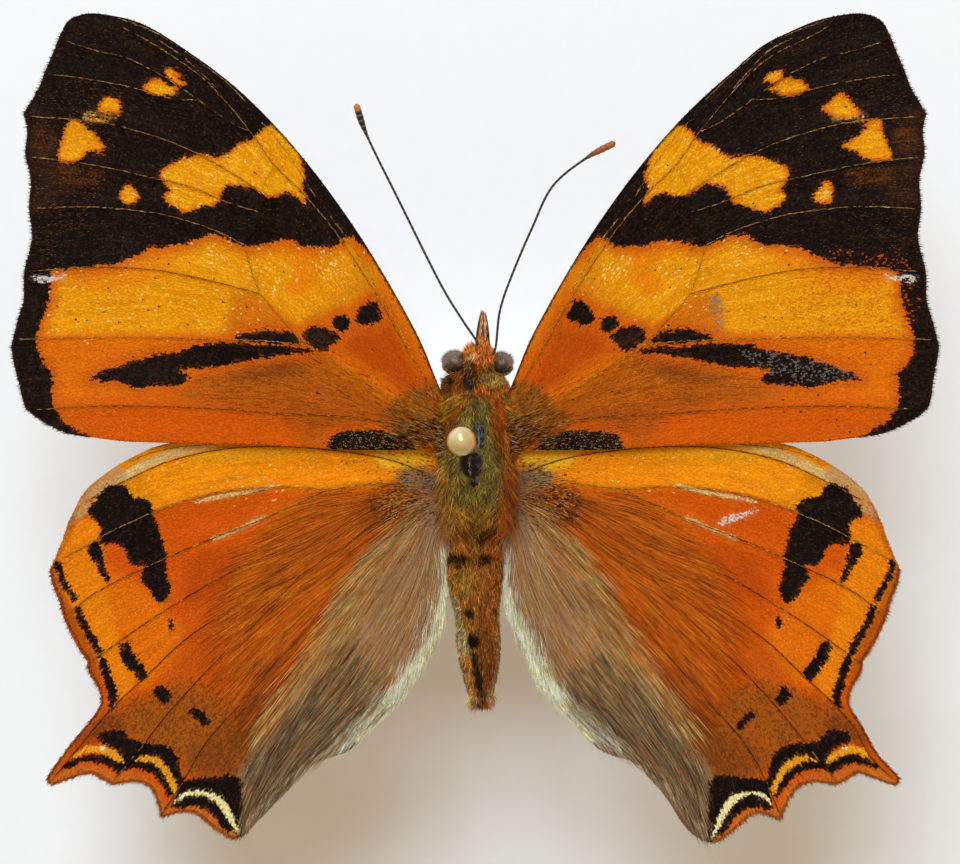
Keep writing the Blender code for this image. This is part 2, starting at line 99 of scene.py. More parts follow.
class Tone(Enum):
    """The colours of the specimen, as they look on a screen."""

    ORANGE = (226, 112, 3)
    DEEP_ORANGE = (210, 85, 2)
    RED_ORANGE = (182, 68, 3)
    RIM_ORANGE = (206, 92, 8)
    BRIGHT_ORANGE = (232, 128, 6)
    GOLD = (232, 150, 4)
    PALE_GOLD = (244, 184, 36)
    FLAME = (255, 152, 8)
    AMBER = (206, 116, 14)
    UMBER = (158, 78, 14)
    BROWN = (108, 54, 16)
    OLIVE_BROWN = (150, 80, 16)
    OLIVE = (168, 148, 66)
    MOSS = (146, 128, 58)
    OLIVE_GOLD = (196, 150, 52)
    DUN = (184, 146, 96)
    LILAC_BROWN = (148, 114, 82)
    BLACK = (20, 9, 4)
    SOOT = (58, 34, 18)
    RUST = (198, 104, 32)
    APRICOT = (244, 140, 58)
    HONEY = (228, 156, 58)
    GINGER = (192, 118, 40)
    TAN = (190, 156, 108)
    STRAW = (214, 190, 122)
    CREAM = (238, 224, 174)
    PALE_GREEN = (255, 244, 190)
    GLINT = (255, 226, 122)
    COPPER = (204, 142, 84)
    BARE = (226, 218, 200)
    GREY = (120, 112, 104)
    SMOKE = (116, 100, 72)
    PLUM = (108, 74, 54)
    FOAM = (240, 240, 237)
    CARD = (248, 249, 248)

    @property
    def light(self) -> tuple[float, float, float]:
        """The colour as the light values that shaders use.

        Returns:
            Red, green and blue light, between 0 and 1.
        """
        levels = [level / 255 for level in self.value]
        red, green, blue = (v / 12.92 if v <= 0.04045 else ((v + 0.055) / 1.055) ** 2.4 for v in levels)
        return (red, green, blue)


# Shader maths.


def set_input(tree: bpy.types.NodeTree, socket: bpy.types.NodeSocket, value: object) -> None:
    """Links a Shade to a node's input, or sets any other value as its constant.

    Args:
        tree: The material's nodes.
        socket: The input.
        value: What it gets.
    """
    if isinstance(value, Shade):
        tree.links.new(value.socket, socket)
    else:
        socket.default_value = value


class Shade:
    """A number or colour output in a material's nodes, with the arithmetic that the finishes use."""

    def __init__(self, tree: bpy.types.NodeTree, socket: bpy.types.NodeSocket) -> None:
        """Wraps an output socket of a node tree."""
        self.tree = tree
        self.socket = socket

    def math(self, operation: str, *others: Shade | float, clamp: bool = False) -> Shade:
        """Adds a Math node with this socket as its first value.

        Args:
            operation: Blender's name for the operation.
            *others: The other values.
            clamp: Whether the result is held between 0 and 1.

        Returns:
            The node's result.
        """
        node = self.tree.nodes.new("ShaderNodeMath")
        node.operation = operation
        node.use_clamp = clamp
        for place, value in enumerate((self, *others)):
            set_input(self.tree, node.inputs[place], value)
        return Shade(self.tree, node.outputs[0])

    def __add__(self, other: Shade | float) -> Shade:
        """The sum."""
        return self.math("ADD", other)

    __radd__ = __add__

    def __mul__(self, other: Shade | float) -> Shade:
        """The product."""
        return self.math("MULTIPLY", other)

    __rmul__ = __mul__

    def __sub__(self, other: Shade | float) -> Shade:
        """The difference."""
        return self.math("SUBTRACT", other)

    def __rsub__(self, other: float) -> Shade:
        """A number less this socket."""
        return self.math("MULTIPLY", -1.0).math("ADD", other)

    def clamped(self) -> Shade:
        """The value held between 0 and 1."""
        return self.math("ADD", 0.0, clamp=True)

    def above(self, edge: float, softness: float) -> Shade:
        """A mask that rises from 0 to 1 round the edge, over twice the softness."""
        return ((self - edge) * (0.5 / softness) + 0.5).clamped()


class Nodes:
    """The nodes of one material round its Principled shader."""

    def __init__(self, name: str, **constants: float | tuple[float, ...]) -> None:
        """Makes the material and sets what is the same all over it.

        Args:
            name: The material's name.
            **constants: Values of the shader's sockets, with _ for a space in their names.
        """
        self.material = bpy.data.materials.new(name)
        self.material.use_nodes = True
        self.tree = self.material.node_tree
        self.shader = self.tree.nodes["Principled BSDF"]
        for socket, value in constants.items():
            self.shader.inputs[socket.replace("_", " ")].default_value = value

    def add(self, kind: str, settings: dict[str, object] | None = None,
            inputs: dict[str | int, object] | None = None, output: str | int = 0) -> Shade:
        """Adds a node.

        Args:
            kind: The node's type, without the ShaderNode before it.
            settings: The node's own settings, which are set first.
            inputs: Values or links of its sockets, by name or number.
            output: The output socket that is wanted.

        Returns:
            That output.
        """
        node = self.tree.nodes.new("ShaderNode" + kind)
        for name, value in (settings or {}).items():
            setattr(node, name, value)
        for name, value in (inputs or {}).items():
            set_input(self.tree, node.inputs[name], value)
        return Shade(self.tree, node.outputs[output])

    def number(self, name: str) -> Shade:
        """A number that the mesh holds under this name."""
        return self.add("Attribute", {"attribute_name": name}, output="Fac")

    def painted(self) -> Shade:
        """The colour that the mesh holds."""
        return self.add("Attribute", {"attribute_name": "tint"}, output="Color")

    def noise(self, scale: float, detail: float = 2.0) -> Shade:
        """Noise between 0 and 1 about 0.5, with scale features in a metre of the object."""
        spot = self.add("TexCoord", output="Object")
        return self.add("TexNoise", None, {"Vector": spot, "Scale": scale, "Detail": detail}, "Fac")

    def cells(self, scale: float) -> Shade:
        """The distance to the middle of the nearest of many cells, scale of them in a metre."""
        spot = self.add("TexCoord", output="Object")
        return self.add("TexVoronoi", None, {"Vector": spot, "Scale": scale}, "Distance")

    def mix(self, mask: Shade | float, first: Shade | Tone, second: Shade | Tone,
            blend: str = "MIX") -> Shade:
        """Mixes two colours.

        Args:
            mask: 0 for the first colour and 1 for the second.
            first: The colour below.
            second: The colour above.
            blend: Blender's name for how the second lies on the first.

        Returns:
            The mixed colour.
        """
        lower, upper = ((*c.light, 1.0) if isinstance(c, Tone) else c for c in (first, second))
        settings = {"data_type": "RGBA", "blend_type": blend}
        return self.add("Mix", settings, {0: mask, 6: lower, 7: upper}, 2)

    def bright(self, colour: Shade | Tone, factor: Shade) -> Shade:
        """A colour made lighter or darker by a factor."""
        grey = self.add("CombineColor", None, {0: factor, 1: factor, 2: factor})
        return self.mix(1.0, colour, grey, "MULTIPLY")

    def bump(self, height: Shade, depth_mm: float) -> None:
        """Feeds a height between 0 and 1, over a depth in millimetres, to the shader's normal."""
        inputs = {"Height": height, "Distance": depth_mm * MM, "Strength": 1.0}
        self.feed("Normal", self.add("Bump", None, inputs))

    def feed(self, socket: str, value: Shade) -> None:
        """Links a value to a socket of the shader."""
        self.tree.links.new(value.socket, self.shader.inputs[socket])


# Curves, distances and noise.


def unit(vectors: Array) -> Array:
    """The vectors at a length of one."""
    return vectors / np.maximum(np.linalg.norm(vectors, axis=-1, keepdims=True), 1e-9)


def turned(vectors: Array, angle: Array) -> Array:
    """Vectors in the plane, each turned by its own angle in radians.

    Args:
        vectors: The vectors, one in each row.
        angle: The angles, anticlockwise.

    Returns:
        The turned vectors.
    """
    u, v = vectors.T
    cosine, sine = np.cos(angle), np.sin(angle)
    return np.column_stack([u * cosine - v * sine, u * sine + v * cosine])


def smooth_curve(points: Points | Array, step: float, closed: bool = False) -> Array:
    """Points on the smooth curve through the given ones.

    Args:
        points: The points that the curve passes.
        step: About how far apart the new points are.
        closed: Whether the curve returns to its first point.

    Returns:
        One row for each new point, with both ends, or without a repeated first one where it is closed.
    """
    given = np.asarray(points, float)
    if closed:
        padded = np.vstack([given[-1:], given, given[:2]])
    else:
        padded = np.vstack([2 * given[0] - given[1], given, 2 * given[-1] - given[-2]])
    rows = []
    for before, start, end, after in zip(padded, padded[1:], padded[2:], padded[3:]):
        count = max(1, round(float(np.linalg.norm(end - start)) / step))
        t = (np.arange(count) / count)[:, None]
        rows.append(0.5 * (2 * start + (end - before) * t
                           + (2 * before - 5 * start + 4 * end - after) * t**2
                           + (3 * start - before - 3 * end + after) * t**3))
    if not closed:
        rows.append(given[-1:])
    return np.vstack(rows)


def in_chunks(work: Callable[[Array], Array], points: Array, size: int = 4000) -> Array:
    """Runs work on a few thousand points at a time, so that it needs little memory."""
    parts = [work(points[first:first + size]) for first in range(0, len(points), size)]
    return np.concatenate(parts) if parts else np.zeros(0)


def chain_distance(points: Array, chain: Array) -> Array:
    """Distance of each point to the nearest place on a chain of straight stretches.

    Args:
        points: The points.
        chain: The corners of the chain, in order.

    Returns:
        The distances.
    """
    start, along = chain[:-1], np.diff(chain, axis=0)
    square = np.maximum((along**2).sum(1), 1e-12)

    def nearest(some: Array) -> Array:
        """The distances of some of the points.

        Args:
            some: Those points.

        Returns:
            Their distances.
        """
        away = some[:, None, :] - start
        t = np.clip((away * along).sum(2) / square, 0, 1)
        return np.sqrt(((away - t[..., None] * along) ** 2).sum(2)).min(1)

    return in_chunks(nearest, points)


def is_inside(points: Array, outline: Array) -> Array:
    """Whether each point lies inside a closed outline.

    Args:
        points: The points.
        outline: The outline's corners, in order.

    Returns:
        True for each point inside.
    """
    start, end = outline, np.roll(outline, -1, axis=0)
    rise = np.where(end[:, 1] == start[:, 1], 1e-12, end[:, 1] - start[:, 1])

    def crossed(some: Array) -> Array:
        """Whether an odd number of edges lies to the right of some of the points.

        Args:
            some: Those points.

        Returns:
            True where the number is odd.
        """
        spans = (start[:, 1] > some[:, 1:2]) != (end[:, 1] > some[:, 1:2])
        at = start[:, 0] + (some[:, 1:2] - start[:, 1]) / rise * (end[:, 0] - start[:, 0])
        return (spans & (some[:, :1] < at)).sum(1) % 2 == 1

    return in_chunks(crossed, points).astype(bool)


def smooth_noise(points: Array, cell: float, seed: int) -> Array:
    """Noise between -1 and 1 that changes over about one cell.

    Args:
        points: Places in the plane.
        cell: The size of a cell.
        seed: Which noise it is.

    Returns:
        The noise at each place.
    """
    size = 256
    table = np.random.default_rng(seed).uniform(-1, 1, (size, size))
    spot = points / cell
    corner = np.floor(spot).astype(int)
    t = spot - corner
    t = t * t * (3 - 2 * t)
    x0, y0 = corner[:, 0] % size, corner[:, 1] % size
    x1, y1 = (x0 + 1) % size, (y0 + 1) % size
    low = table[x0, y0] * (1 - t[:, 0]) + table[x1, y0] * t[:, 0]
    high = table[x0, y1] * (1 - t[:, 0]) + table[x1, y1] * t[:, 0]
    return low * (1 - t[:, 1]) + high * t[:, 1]


def ramp(value: Array, low: float, high: float) -> Array:
    """A smooth rise from 0 at low to 1 at high."""
    t = np.clip((value - low) / (high - low), 0, 1)
    return t * t * (3 - 2 * t)


def ragged(depth: Array, grain: Array, soft: float, toothed: float, rough: float = 0.08) -> Array:
    """How a mark covers the scales near its edge, from 0 to 1.

    Args:
        depth: Depth of each scale inside the mark.
        grain: Two random numbers and the height of the edge's teeth, for each scale.
        soft: Half of the width over which the cover rises.
        toothed: How far the teeth reach.
        rough: How far single scales stray.

    Returns:
        The cover of each scale.
    """
    stray = (grain[:, 1] - 0.5) * rough
    teeth = grain[:, 2] * toothed
    return ramp(depth + stray + teeth, -soft, soft)


class Spots:
    """Points in the plane, sorted into small cells so that distances are worked out only where needed.

    The margin is a little over half of a cell's diagonal: no point lies farther from its cell's centre.
    """

    CELL = 0.5
    MARGIN = 0.75 * CELL

    def __init__(self, points: Array) -> None:
        """Sorts the points.

        Args:
            points: The points, one in each row.
        """
        self.points = points
        cells, index = np.unique(np.floor(points / self.CELL).astype(int), axis=0, return_inverse=True)
        self.cell = index.ravel()
        self.centres = (cells + 0.5) * self.CELL

    def __len__(self) -> int:
        """How many points there are."""
        return len(self.points)

    def distance(self, chain: Array, reach: float) -> Array:
        """Distance of each point to a chain, where it is less than the reach.

        Args:
            chain: The corners of the chain, in order.
            reach: The largest distance that matters.

        Returns:
            The distances, at most the reach.
        """
        near = (chain_distance(self.centres, chain) < reach + self.MARGIN)[self.cell]
        found = np.full(len(self.points), reach)
        found[near] = np.minimum(chain_distance(self.points[near], chain), reach)
        return found

    def depth(self, outline: Array, reach: float) -> Array:
        """Signed distance to a closed outline, at most the reach.

        Args:
            outline: The outline's corners, in order.
            reach: The largest distance that matters.

        Returns:
            The depth of each point inside the outline, below 0 outside it.
        """
        closed = np.vstack([outline, outline[:1]])
        near = (chain_distance(self.centres, closed) < reach + self.MARGIN)[self.cell]
        found = np.where(is_inside(self.centres, outline), reach, -reach)[self.cell]
        some = self.points[near]
        sign = np.where(is_inside(some, outline), 1.0, -1.0)
        found[near] = sign * np.minimum(chain_distance(some, closed), reach)
        return found


def drawn(tones: Sequence[Tone], random: np.random.Generator, count: int) -> Array:
    """Colours drawn evenly from some tones.

    Args:
        tones: The tones.
        random: The source of the draws.
        count: How many colours are drawn.

    Returns:
        One colour in each row.
    """
    light = np.array([tone.light for tone in tones])
    picks = random.integers(0, len(tones), count)
    return light[picks]


class Paint:
    """Colours of many points, laid on in layers."""

    def __init__(self, count: int, ground: Tone) -> None:
        """Starts with one colour all over."""
        self.colour = np.tile(np.array(ground.light), (count, 1))

    def lay(self, mask: Array, tone: Tone) -> None:
        """Covers the points by a mask between 0 and 1."""
        cover = np.clip(mask, 0, 1)[:, None]
        self.colour = self.colour * (1 - cover) + np.array(tone.light) * cover

    def shade(self, factor: Array) -> None:
        """Makes the colours lighter or darker."""
        self.colour = self.colour * np.maximum(factor, 0)[:, None]


# Meshes.


def add_mesh(name: str, vertices_mm: Array, triangles: Array, smooth: bool = True,
             tint: Array | None = None, numbers: dict[str, Array] | None = None) -> bpy.types.Object:
    """Makes an object of triangles.

    Args:
        name: The piece's name.
        vertices_mm: One row for each point, in millimetres.
        triangles: Three point numbers in each row.
        smooth: Whether it is shaded smooth.
        tint: The colour of each point.
        numbers: Other values of each point that the finish reads, by name.

    Returns:
        The new object.
    """
    mesh = bpy.data.meshes.new(name)
    mesh.vertices.add(len(vertices_mm))
    mesh.vertices.foreach_set("co", (vertices_mm * MM).astype(np.float32).ravel())
    mesh.loops.add(triangles.size)
    mesh.loops.foreach_set("vertex_index", triangles.astype(np.int32).ravel())
    mesh.polygons.add(len(triangles))
    mesh.polygons.foreach_set("loop_start", np.arange(0, triangles.size, 3, dtype=np.int32))
    mesh.update(calc_edges=True)
    mesh.polygons.foreach_set("use_smooth", np.full(len(triangles), smooth))
    if tint is not None:
        layer = mesh.attributes.new("tint", "FLOAT_COLOR", "POINT")
        full = np.column_stack([tint, np.ones(len(tint))])
        layer.data.foreach_set("color", full.astype(np.float32).ravel())
    for key, values in (numbers or {}).items():
        layer = mesh.attributes.new(key, "FLOAT", "POINT")
        layer.data.foreach_set("value", np.asarray(values, np.float32))
    made = bpy.data.objects.new(name, mesh)
    bpy.context.scene.collection.objects.link(made)
    return made


def add_bake_map(piece: bpy.types.Object, roots: Array, per_root: int) -> None:
    """Gives a coat its OFBake map, where each tuft is a small patch at its root's place.

    Args:
        piece: The coat.
        roots: The place of each tuft's root on the unwrapped skin, between 0 and 1 each way.
        per_root: How many points of the mesh each tuft has, one tuft after the other.
    """
    patch = 0.003
    turn = np.arange(per_root) * 2 * math.pi / per_root
    offsets = 0.5 * patch * np.column_stack([np.cos(turn), np.sin(turn)])
    places = (roots[:, None, :] * (1 - 2 * patch) + patch + offsets).reshape(-1, 2)
    corners = np.empty(len(piece.data.loops), np.int32)
    piece.data.loops.foreach_get("vertex_index", corners)
    layer = piece.data.uv_layers.new(name="OFBake")
    layer.data.foreach_set("uv", places[corners].astype(np.float32).ravel())


def unwrapped(places: Array) -> Array:
    """Places in a plane, fitted between 0 and 1 each way."""
    low, high = places.min(0), places.max(0)
    return (places - low) / np.maximum(high - low, 1e-9)


def fit(piece: bpy.types.Object, finish: bpy.types.Material, slot: str, *nodes: str) -> bpy.types.Object:
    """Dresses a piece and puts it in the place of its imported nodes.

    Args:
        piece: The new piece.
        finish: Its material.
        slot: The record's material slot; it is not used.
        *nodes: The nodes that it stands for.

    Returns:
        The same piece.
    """
    piece.data.materials.append(finish)
    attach(piece, "root")
    if nodes:
        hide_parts(*nodes)
    LOG.info("%s: %d triangles", piece.name, len(piece.data.polygons))
    return piece


def ring_mesh(rings: Array, ends: Array) -> tuple[Array, Array]:
    """A closed form through rings of points.

    Args:
        rings: Rows of rings, each with its points in turn.
        ends: The points that close the first and the last ring.

    Returns:
        Points and triangles.
    """
    count, sides, _ = rings.shape
    here = np.arange(count * sides).reshape(count, sides)
    beside = np.roll(here, -1, axis=1)
    first = np.full(sides, count * sides)
    parts = ((here[:-1], beside[:-1], here[1:]), (beside[:-1], beside[1:], here[1:]),
             (first, beside[0], here[0]), (first + 1, here[-1], beside[-1]))
    triangles = [np.stack(part, axis=-1).reshape(-1, 3) for part in parts]
    return np.vstack([rings.reshape(-1, 3), ends]), np.vstack(triangles)


def tube_mesh(path: Array, radii: Array, sides: int, flatness: float = 1.0) -> tuple[Array, Array]:
    """A closed round tube along a path.

    Args:
        path: Points along the middle.
        radii: The tube's radius at each.
        sides: How many sides it has.
        flatness: Its height as a share of its width.

    Returns:
        Points and triangles.
    """
    along = unit(np.gradient(path, axis=0))
    across = unit(np.cross(along, (0.02, 0.0, 1.0)))
    other = np.cross(along, across) * flatness
    turn = (np.arange(sides) * 2 * math.pi / sides)[:, None]
    size = radii[:, None, None]
    rings = path[:, None] + (across[:, None] * np.cos(turn) + other[:, None] * np.sin(turn)) * size
    return ring_mesh(rings, path[[0, -1]])


def turned_mesh(middle: tuple[float, float], profile: Points, sides: int) -> tuple[Array, Array]:
    """A closed form turned round an upright axis.

    Args:
        middle: X and Y of the axis.
        profile: Radius and height, from the lowest ring to the highest.
        sides: How many sides it has.

    Returns:
        Points and triangles.
    """
    turn = np.arange(sides) * 2 * math.pi / sides
    rings = [np.column_stack([middle[0] + radius * np.cos(turn), middle[1] + radius * np.sin(turn),
                              np.full(sides, z)]) for radius, z in profile]
    ends = np.array([(*middle, profile[0][1]), (*middle, profile[-1][1])])
    return ring_mesh(np.array(rings), ends)


@dataclass
class Strands:
    """Thin tapered hairs, each a closed three-sided tube that ends in a point."""

    paths: Array
    radius: Array
    taper: float = 0.7

    @property
    def points_each(self) -> int:
        """How many mesh points a hair has."""
        return 3 * (self.paths.shape[1] - 1) + 1

    def mesh(self) -> tuple[Array, Array]:
        """The hairs' points, in one block for each hair, and their triangles.

        Returns:
            Points and triangles.
        """
        count, length, _ = self.paths.shape
        along = unit(np.gradient(self.paths, axis=1))
        across = unit(np.cross(along, (0.03, 0.0, 1.0)))
        other = np.cross(across, along)
        rings = []
        for k in range(length - 1):
            size = (self.radius * (1 - self.taper * k / (length - 1)))[:, None]
            for turn in (90, 210, 330):
                angle = math.radians(turn)
                offset = across[:, k] * math.cos(angle) + other[:, k] * math.sin(angle)
                rings.append(self.paths[:, k] + offset * size)
        rings.append(self.paths[:, -1])
        points = np.stack(rings, axis=1)
        faces = [(0, 1, 2)]
        for k in range(length - 2):
            a, b = 3 * k, 3 * k + 3
            for i in range(3):
                j = (i + 1) % 3
                faces += [(a + i, b + i, a + j), (a + j, b + i, b + j)]
        last, tip = 3 * (length - 2), 3 * (length - 1)
        faces += [(last + i, tip, last + (i + 1) % 3) for i in range(3)]
        triangles = (np.arange(count) * self.points_each)[:, None, None] + np.array(faces)
        return points.reshape(-1, 3), triangles.reshape(-1, 3)

    def add(self, name: str, tint: Array, roots: Array) -> bpy.types.Object:
        """Makes the hairs one piece.

        Args:
            name: The piece's name.
            tint: One colour for each hair.
            roots: The place of each root on the unwrapped skin.

        Returns:
            The piece, with its OFBake map.
        """
        points, triangles = self.mesh()
        each = self.points_each
        tips = np.linspace(0.72, 1.12, each)
        colours = (tint[:, None, :] * tips[:, None]).reshape(-1, 3)
        piece = add_mesh(name, points, triangles, tint=colours)
        add_bake_map(piece, roots, each)
        return piece


# Tables. Their rows are parted by semicolons, and a row has some words, a colon and its points as x,y.


def table_rows(text: str) -> list[tuple[list[str], Array]]:
    """Reads a table.

    Args:
        text: The table's rows.

    Returns:
        The words and the points of each row.
    """
    rows = []
    for row in text.split(";"):
        words, _, points = row.rpartition(":")
        rows.append((words.split(), np.array([point.split(",") for point in points.split()], float)))
    return rows


def chains(text: str) -> list[Array]:
    """The points of a table's rows."""
    return [points for _, points in table_rows(text)]


def marks(text: str) -> dict[str, Array]:
    """The outlines in a table's rows, by their names."""
    return {" ".join(words): points for words, points in table_rows(text)}


def in_plane(pixels: Array) -> Array:
    """Photo pixels as X and Y in the row frame, in millimetres."""
    return np.column_stack([pixels[:, 0] - ROOT_PX[0], ROOT_PX[1] - pixels[:, 1]]) * MM_PER_PX


def on_wing(pixels: Array) -> Array:
    """Photo pixels as wing points: (u, v) in millimetres, outwards and forwards from the roots."""
    return np.column_stack([np.abs(in_plane(pixels)[:, 0]), in_plane(pixels)[:, 1]])


@dataclass(frozen=True)
class Vein:
    """A vein: how pale it is, from 0 to 1, its points, and whether it lies across the others."""

    pale: float
    points: Array
    is_cross: bool = False

    @classmethod
    def read(cls, text: str) -> list[Vein]:
        """Veins from rows of paleness and points, with "cross" for those that lie across."""
        return [cls(float(words[0]), points, "cross" in words) for words, points in table_rows(text)]


@dataclass(frozen=True)
class Zone:
    """A coloured region with soft edges: its outline in photo pixels, and how it covers what is below."""

    outline_px: Array
    tone: Tone
    soft: float
    strength: float
    streaked: float = 0.0

    @classmethod
    def read(cls, text: str) -> list[Zone]:
        """Zones from rows of tone, softness, strength, any share of streaks, and outline."""
        return [cls(points, Tone[words[0]], *map(float, words[1:])) for words, points in table_rows(text)]


@dataclass(frozen=True)
class HairPatch:
    """Hair on part of a wing's upper face: where it is rooted, how it looks and how many there are."""

    outline_px: Array
    count: int
    length: float
    radius: float
    lift: float
    turn: float
    tones: tuple[Tone, ...]
    on_dark: bool

    @property
    def steps(self) -> int:
        """How many stretches each hair has."""
        return 1 if self.length < 0.3 else 2 if self.length < 1.5 else 3

    @classmethod
    def read(cls, text: str) -> list[HairPatch]:
        """Patches from rows of the values above, with "dark" for those on dark parts, and outline.

        Args:
            text: The table.

        Returns:
            The patches.
        """
        found = []
        for (count, *sizes), points in table_rows(text):
            tones = tuple(Tone[word] for word in sizes[4:] if word != "dark")
            found.append(cls(points, int(count), *map(float, sizes[:4]), tones, "dark" in sizes))
        return found


# Wings: their form.


@dataclass(frozen=True)
class WingForm:
    """What the two wings of a pair have in common.

    The runs are the stretches of the outline between its corners, and the guides lead the scales where no
    vein does. A right shift is a place and how far the right wing's points are moved there.
    """

    pair: Pair
    plane_z: float
    runs: list[Array]
    veins: list[Vein]
    guides: list[Array]
    # Pale lines of scales along creases, in photo pixels: partly the wing's own pale scales and partly
    # painted highlights of the light on the folds.
    creases_px: list[Array]
    right_shifts: list[Array]


FOREWING = WingForm(
    pair=Pair.FORE,
    plane_z=28.0,
    runs=chains("""
        0.8,1.55 1.8,2.66 3.26,6.03 6.24,11.13 9.5,15.58 12.76,19 16.02,21.45 18.19,22.7
            20.36,23.2 21.45,23.13 22.1,22.75 22.45,22.1;
        22.45,22.1 22.8,21.2 23.24,20.15 23.6,19.2 24.43,17.75;
        24.43,17.75 24.24,16.8 24.33,15.6 24.05,14.17 24.13,12.65 23.98,11 24.38,9.18 24.43,7.66
            24.75,6.5 25.09,5.15;
        25.09,5.15 24.97,4.3 24.71,3.25 24.42,2.1 24,1.5 22.53,0.6 20.91,0.22;
        20.91,0.22 18.73,-0.03 14.93,-0.14 10.59,-0.27 6.24,-0.49 0.8,-0.45
    """),
    veins=Vein.read("""
        0.6: 1.6,1.6 3.8,5.2 5.2,7.7 7.4,11.1 9.2,13.3 10.9,15 12.2,16.8 13.6,18.5 14.9,19.8
            16.9,21.2 19.2,22.5;
        0.3: 12.2,16.8 13.3,17.3 15,18.5 16.6,19.6 18.7,20.7 20.6,21.2 22.2,21.7;
        0.5: 15,18.5 16.6,18.6 18.7,19.2 21.4,19.7 23.2,19.9;
        0.8: 11.6,13.5 13.3,14.6 15.5,15.8 17.6,16.6 20.4,17.3 24.1,17.6;
        0.6: 11.6,12.4 13.3,12.9 15.5,13.8 17.6,14.3 20.9,15 24.1,15.4;
        0.7: 12.5,10.6 13.8,11.3 15.5,11.9 17.6,12.4 20.9,12.7 23.9,12.6;
        0.4: 11.7,8 14.4,8.7 17.6,9.3 20.9,9.4 24.1,9.2;
        0.9: 9.1,5.2 11,5.4 13.3,5.5 17.6,5.6 20.9,5.6 24.8,5.5;
        0.9: 1.6,0.9 4.1,2 5.4,2.8 7.3,4 9.1,5.2 10.3,6.4 11.7,8;
        0.9 cross: 11.7,8 12.2,9.5 12.5,10.6;
        0.2 cross: 12.5,10.6 11.6,12.4 11.6,13.5 10.9,15;
        0.3: 3.1,0.6 5.3,1.1 7.4,1.35 10.6,1.5 15.2,1.8 19.8,1.9 23.9,1.7
    """),
    guides=chains("""
        0.9,1.8 2.6,4.6 4.6,8.3 7.9,13.2 11.1,17.2 14.4,20.2 18.2,22.5
    """),
    creases_px=chains("""
        118,18 148,29 172,42 192,56 223,79 247,103;
        158,40 178,53 200,72 218,90;
        262,122 282,146 300,172 316,198;
        330,216 350,242 370,276 392,316 412,352
    """),
    right_shifts=chains("""
        15.5,21.3 0,0.3;
        24.3,1.7 0.2,0
    """),
)

HINDWING = WingForm(
    pair=Pair.HIND,
    plane_z=27.05,
    runs=chains("""
        0.8,-0.76 3.53,0.2 7.87,0.49 12.22,0.38 14.66,0.16 16.83,-0.16 18.19,-0.65 19.82,-1.57
            21.18,-2.71 21.99,-4.18 22.53,-5.65 23.1,-6.95;
        23.1,-6.95 22.98,-7.7 22.55,-8.8 22.34,-9.6 21.7,-11 21.05,-12;
        21.05,-12 20.98,-12.6 20.5,-13.4 20.34,-14.1 20.53,-14.72 21.18,-15.58 22.21,-16.83
            23.02,-17.97 23.29,-18.42;
        23.29,-18.42 23.02,-18.7 21.99,-18.35 21.01,-18.08 20.2,-18.46 19.66,-18.7;
        19.66,-18.7 18.62,-18.55 17.76,-18.79 17.3,-19.6 17.05,-20.5;
        17.05,-20.5 16.13,-20.22 15.2,-20.31 14.17,-21.12 13.19,-21.67 12.43,-21.34;
        12.43,-21.34 11.57,-20.47 10.48,-19.33 9.5,-18.35 8.69,-17.54 7.06,-17 6.14,-16.29
            5.16,-15.2 4.07,-14.06 2.99,-12.65 2.12,-11.08 1.57,-9.61 1.5,-8.09 1.45,-6.46
            1.3,-5.1 0.8,-4.83
    """),
    veins=Vein.read("""
        0.1: 2.8,-1.7 5.2,-0.9 9.5,-0.35 13.3,-0.4 16.6,-1.1 19.3,-2.3 21,-3.2;
        0.9: 2.8,-2.5 5.2,-2.3 7.9,-2.6 11.1,-2.5 14.9,-3 18.7,-4.4 22.3,-6.3;
        0.4: 7.9,-2.6 11.4,-4.2 13.8,-5.1 17.1,-6.5 20.4,-8.1 22.1,-9.4;
        0.2: 9.5,-5.6 11.1,-6.2 13.8,-7.4 17.6,-9.7 20.9,-12;
        0: 9.5,-7.3 12.2,-8.5 15.5,-10.6 17.8,-12.7 19.9,-14.7 22,-17.2 22.9,-18.3;
        0: 9.5,-7.3 11.6,-9.6 14.1,-12 16.6,-14.7 18.5,-17.1 19.6,-18.4;
        0: 8.4,-9.4 10,-11.1 12.8,-14.3 14.7,-16.5 16,-18.7 17,-20.2;
        0: 3,-4.6 4.1,-6.5 7.3,-11.3 9.5,-14.6 11.7,-18.1 12.9,-21.2;
        0.1: 3,-3.4 5.2,-4.3 7.3,-5.9 9.5,-7.3;
        0: 3,-4 5.7,-6.5 8.4,-9.4
    """),
    guides=chains("""
        2.3,-5 2.3,-7 2.6,-9.5 3.5,-12 5.3,-14.6 8,-17 11.2,-20;
        2.7,-4.9 3,-7 4.3,-10 6.6,-13.5 9.8,-17.3 12.3,-20.6
    """),
    creases_px=chains("""
        128,462 150,453 180,447 217,444;
        268,489 240,496 215,503
    """),
    right_shifts=chains("""
        22.4,-17 -0.5,0;
        17.1,-20.5 -0.4,-0.15;
        11.6,-20.6 0,-0.7;
        2.1,-11 0.4,0
    """),
)
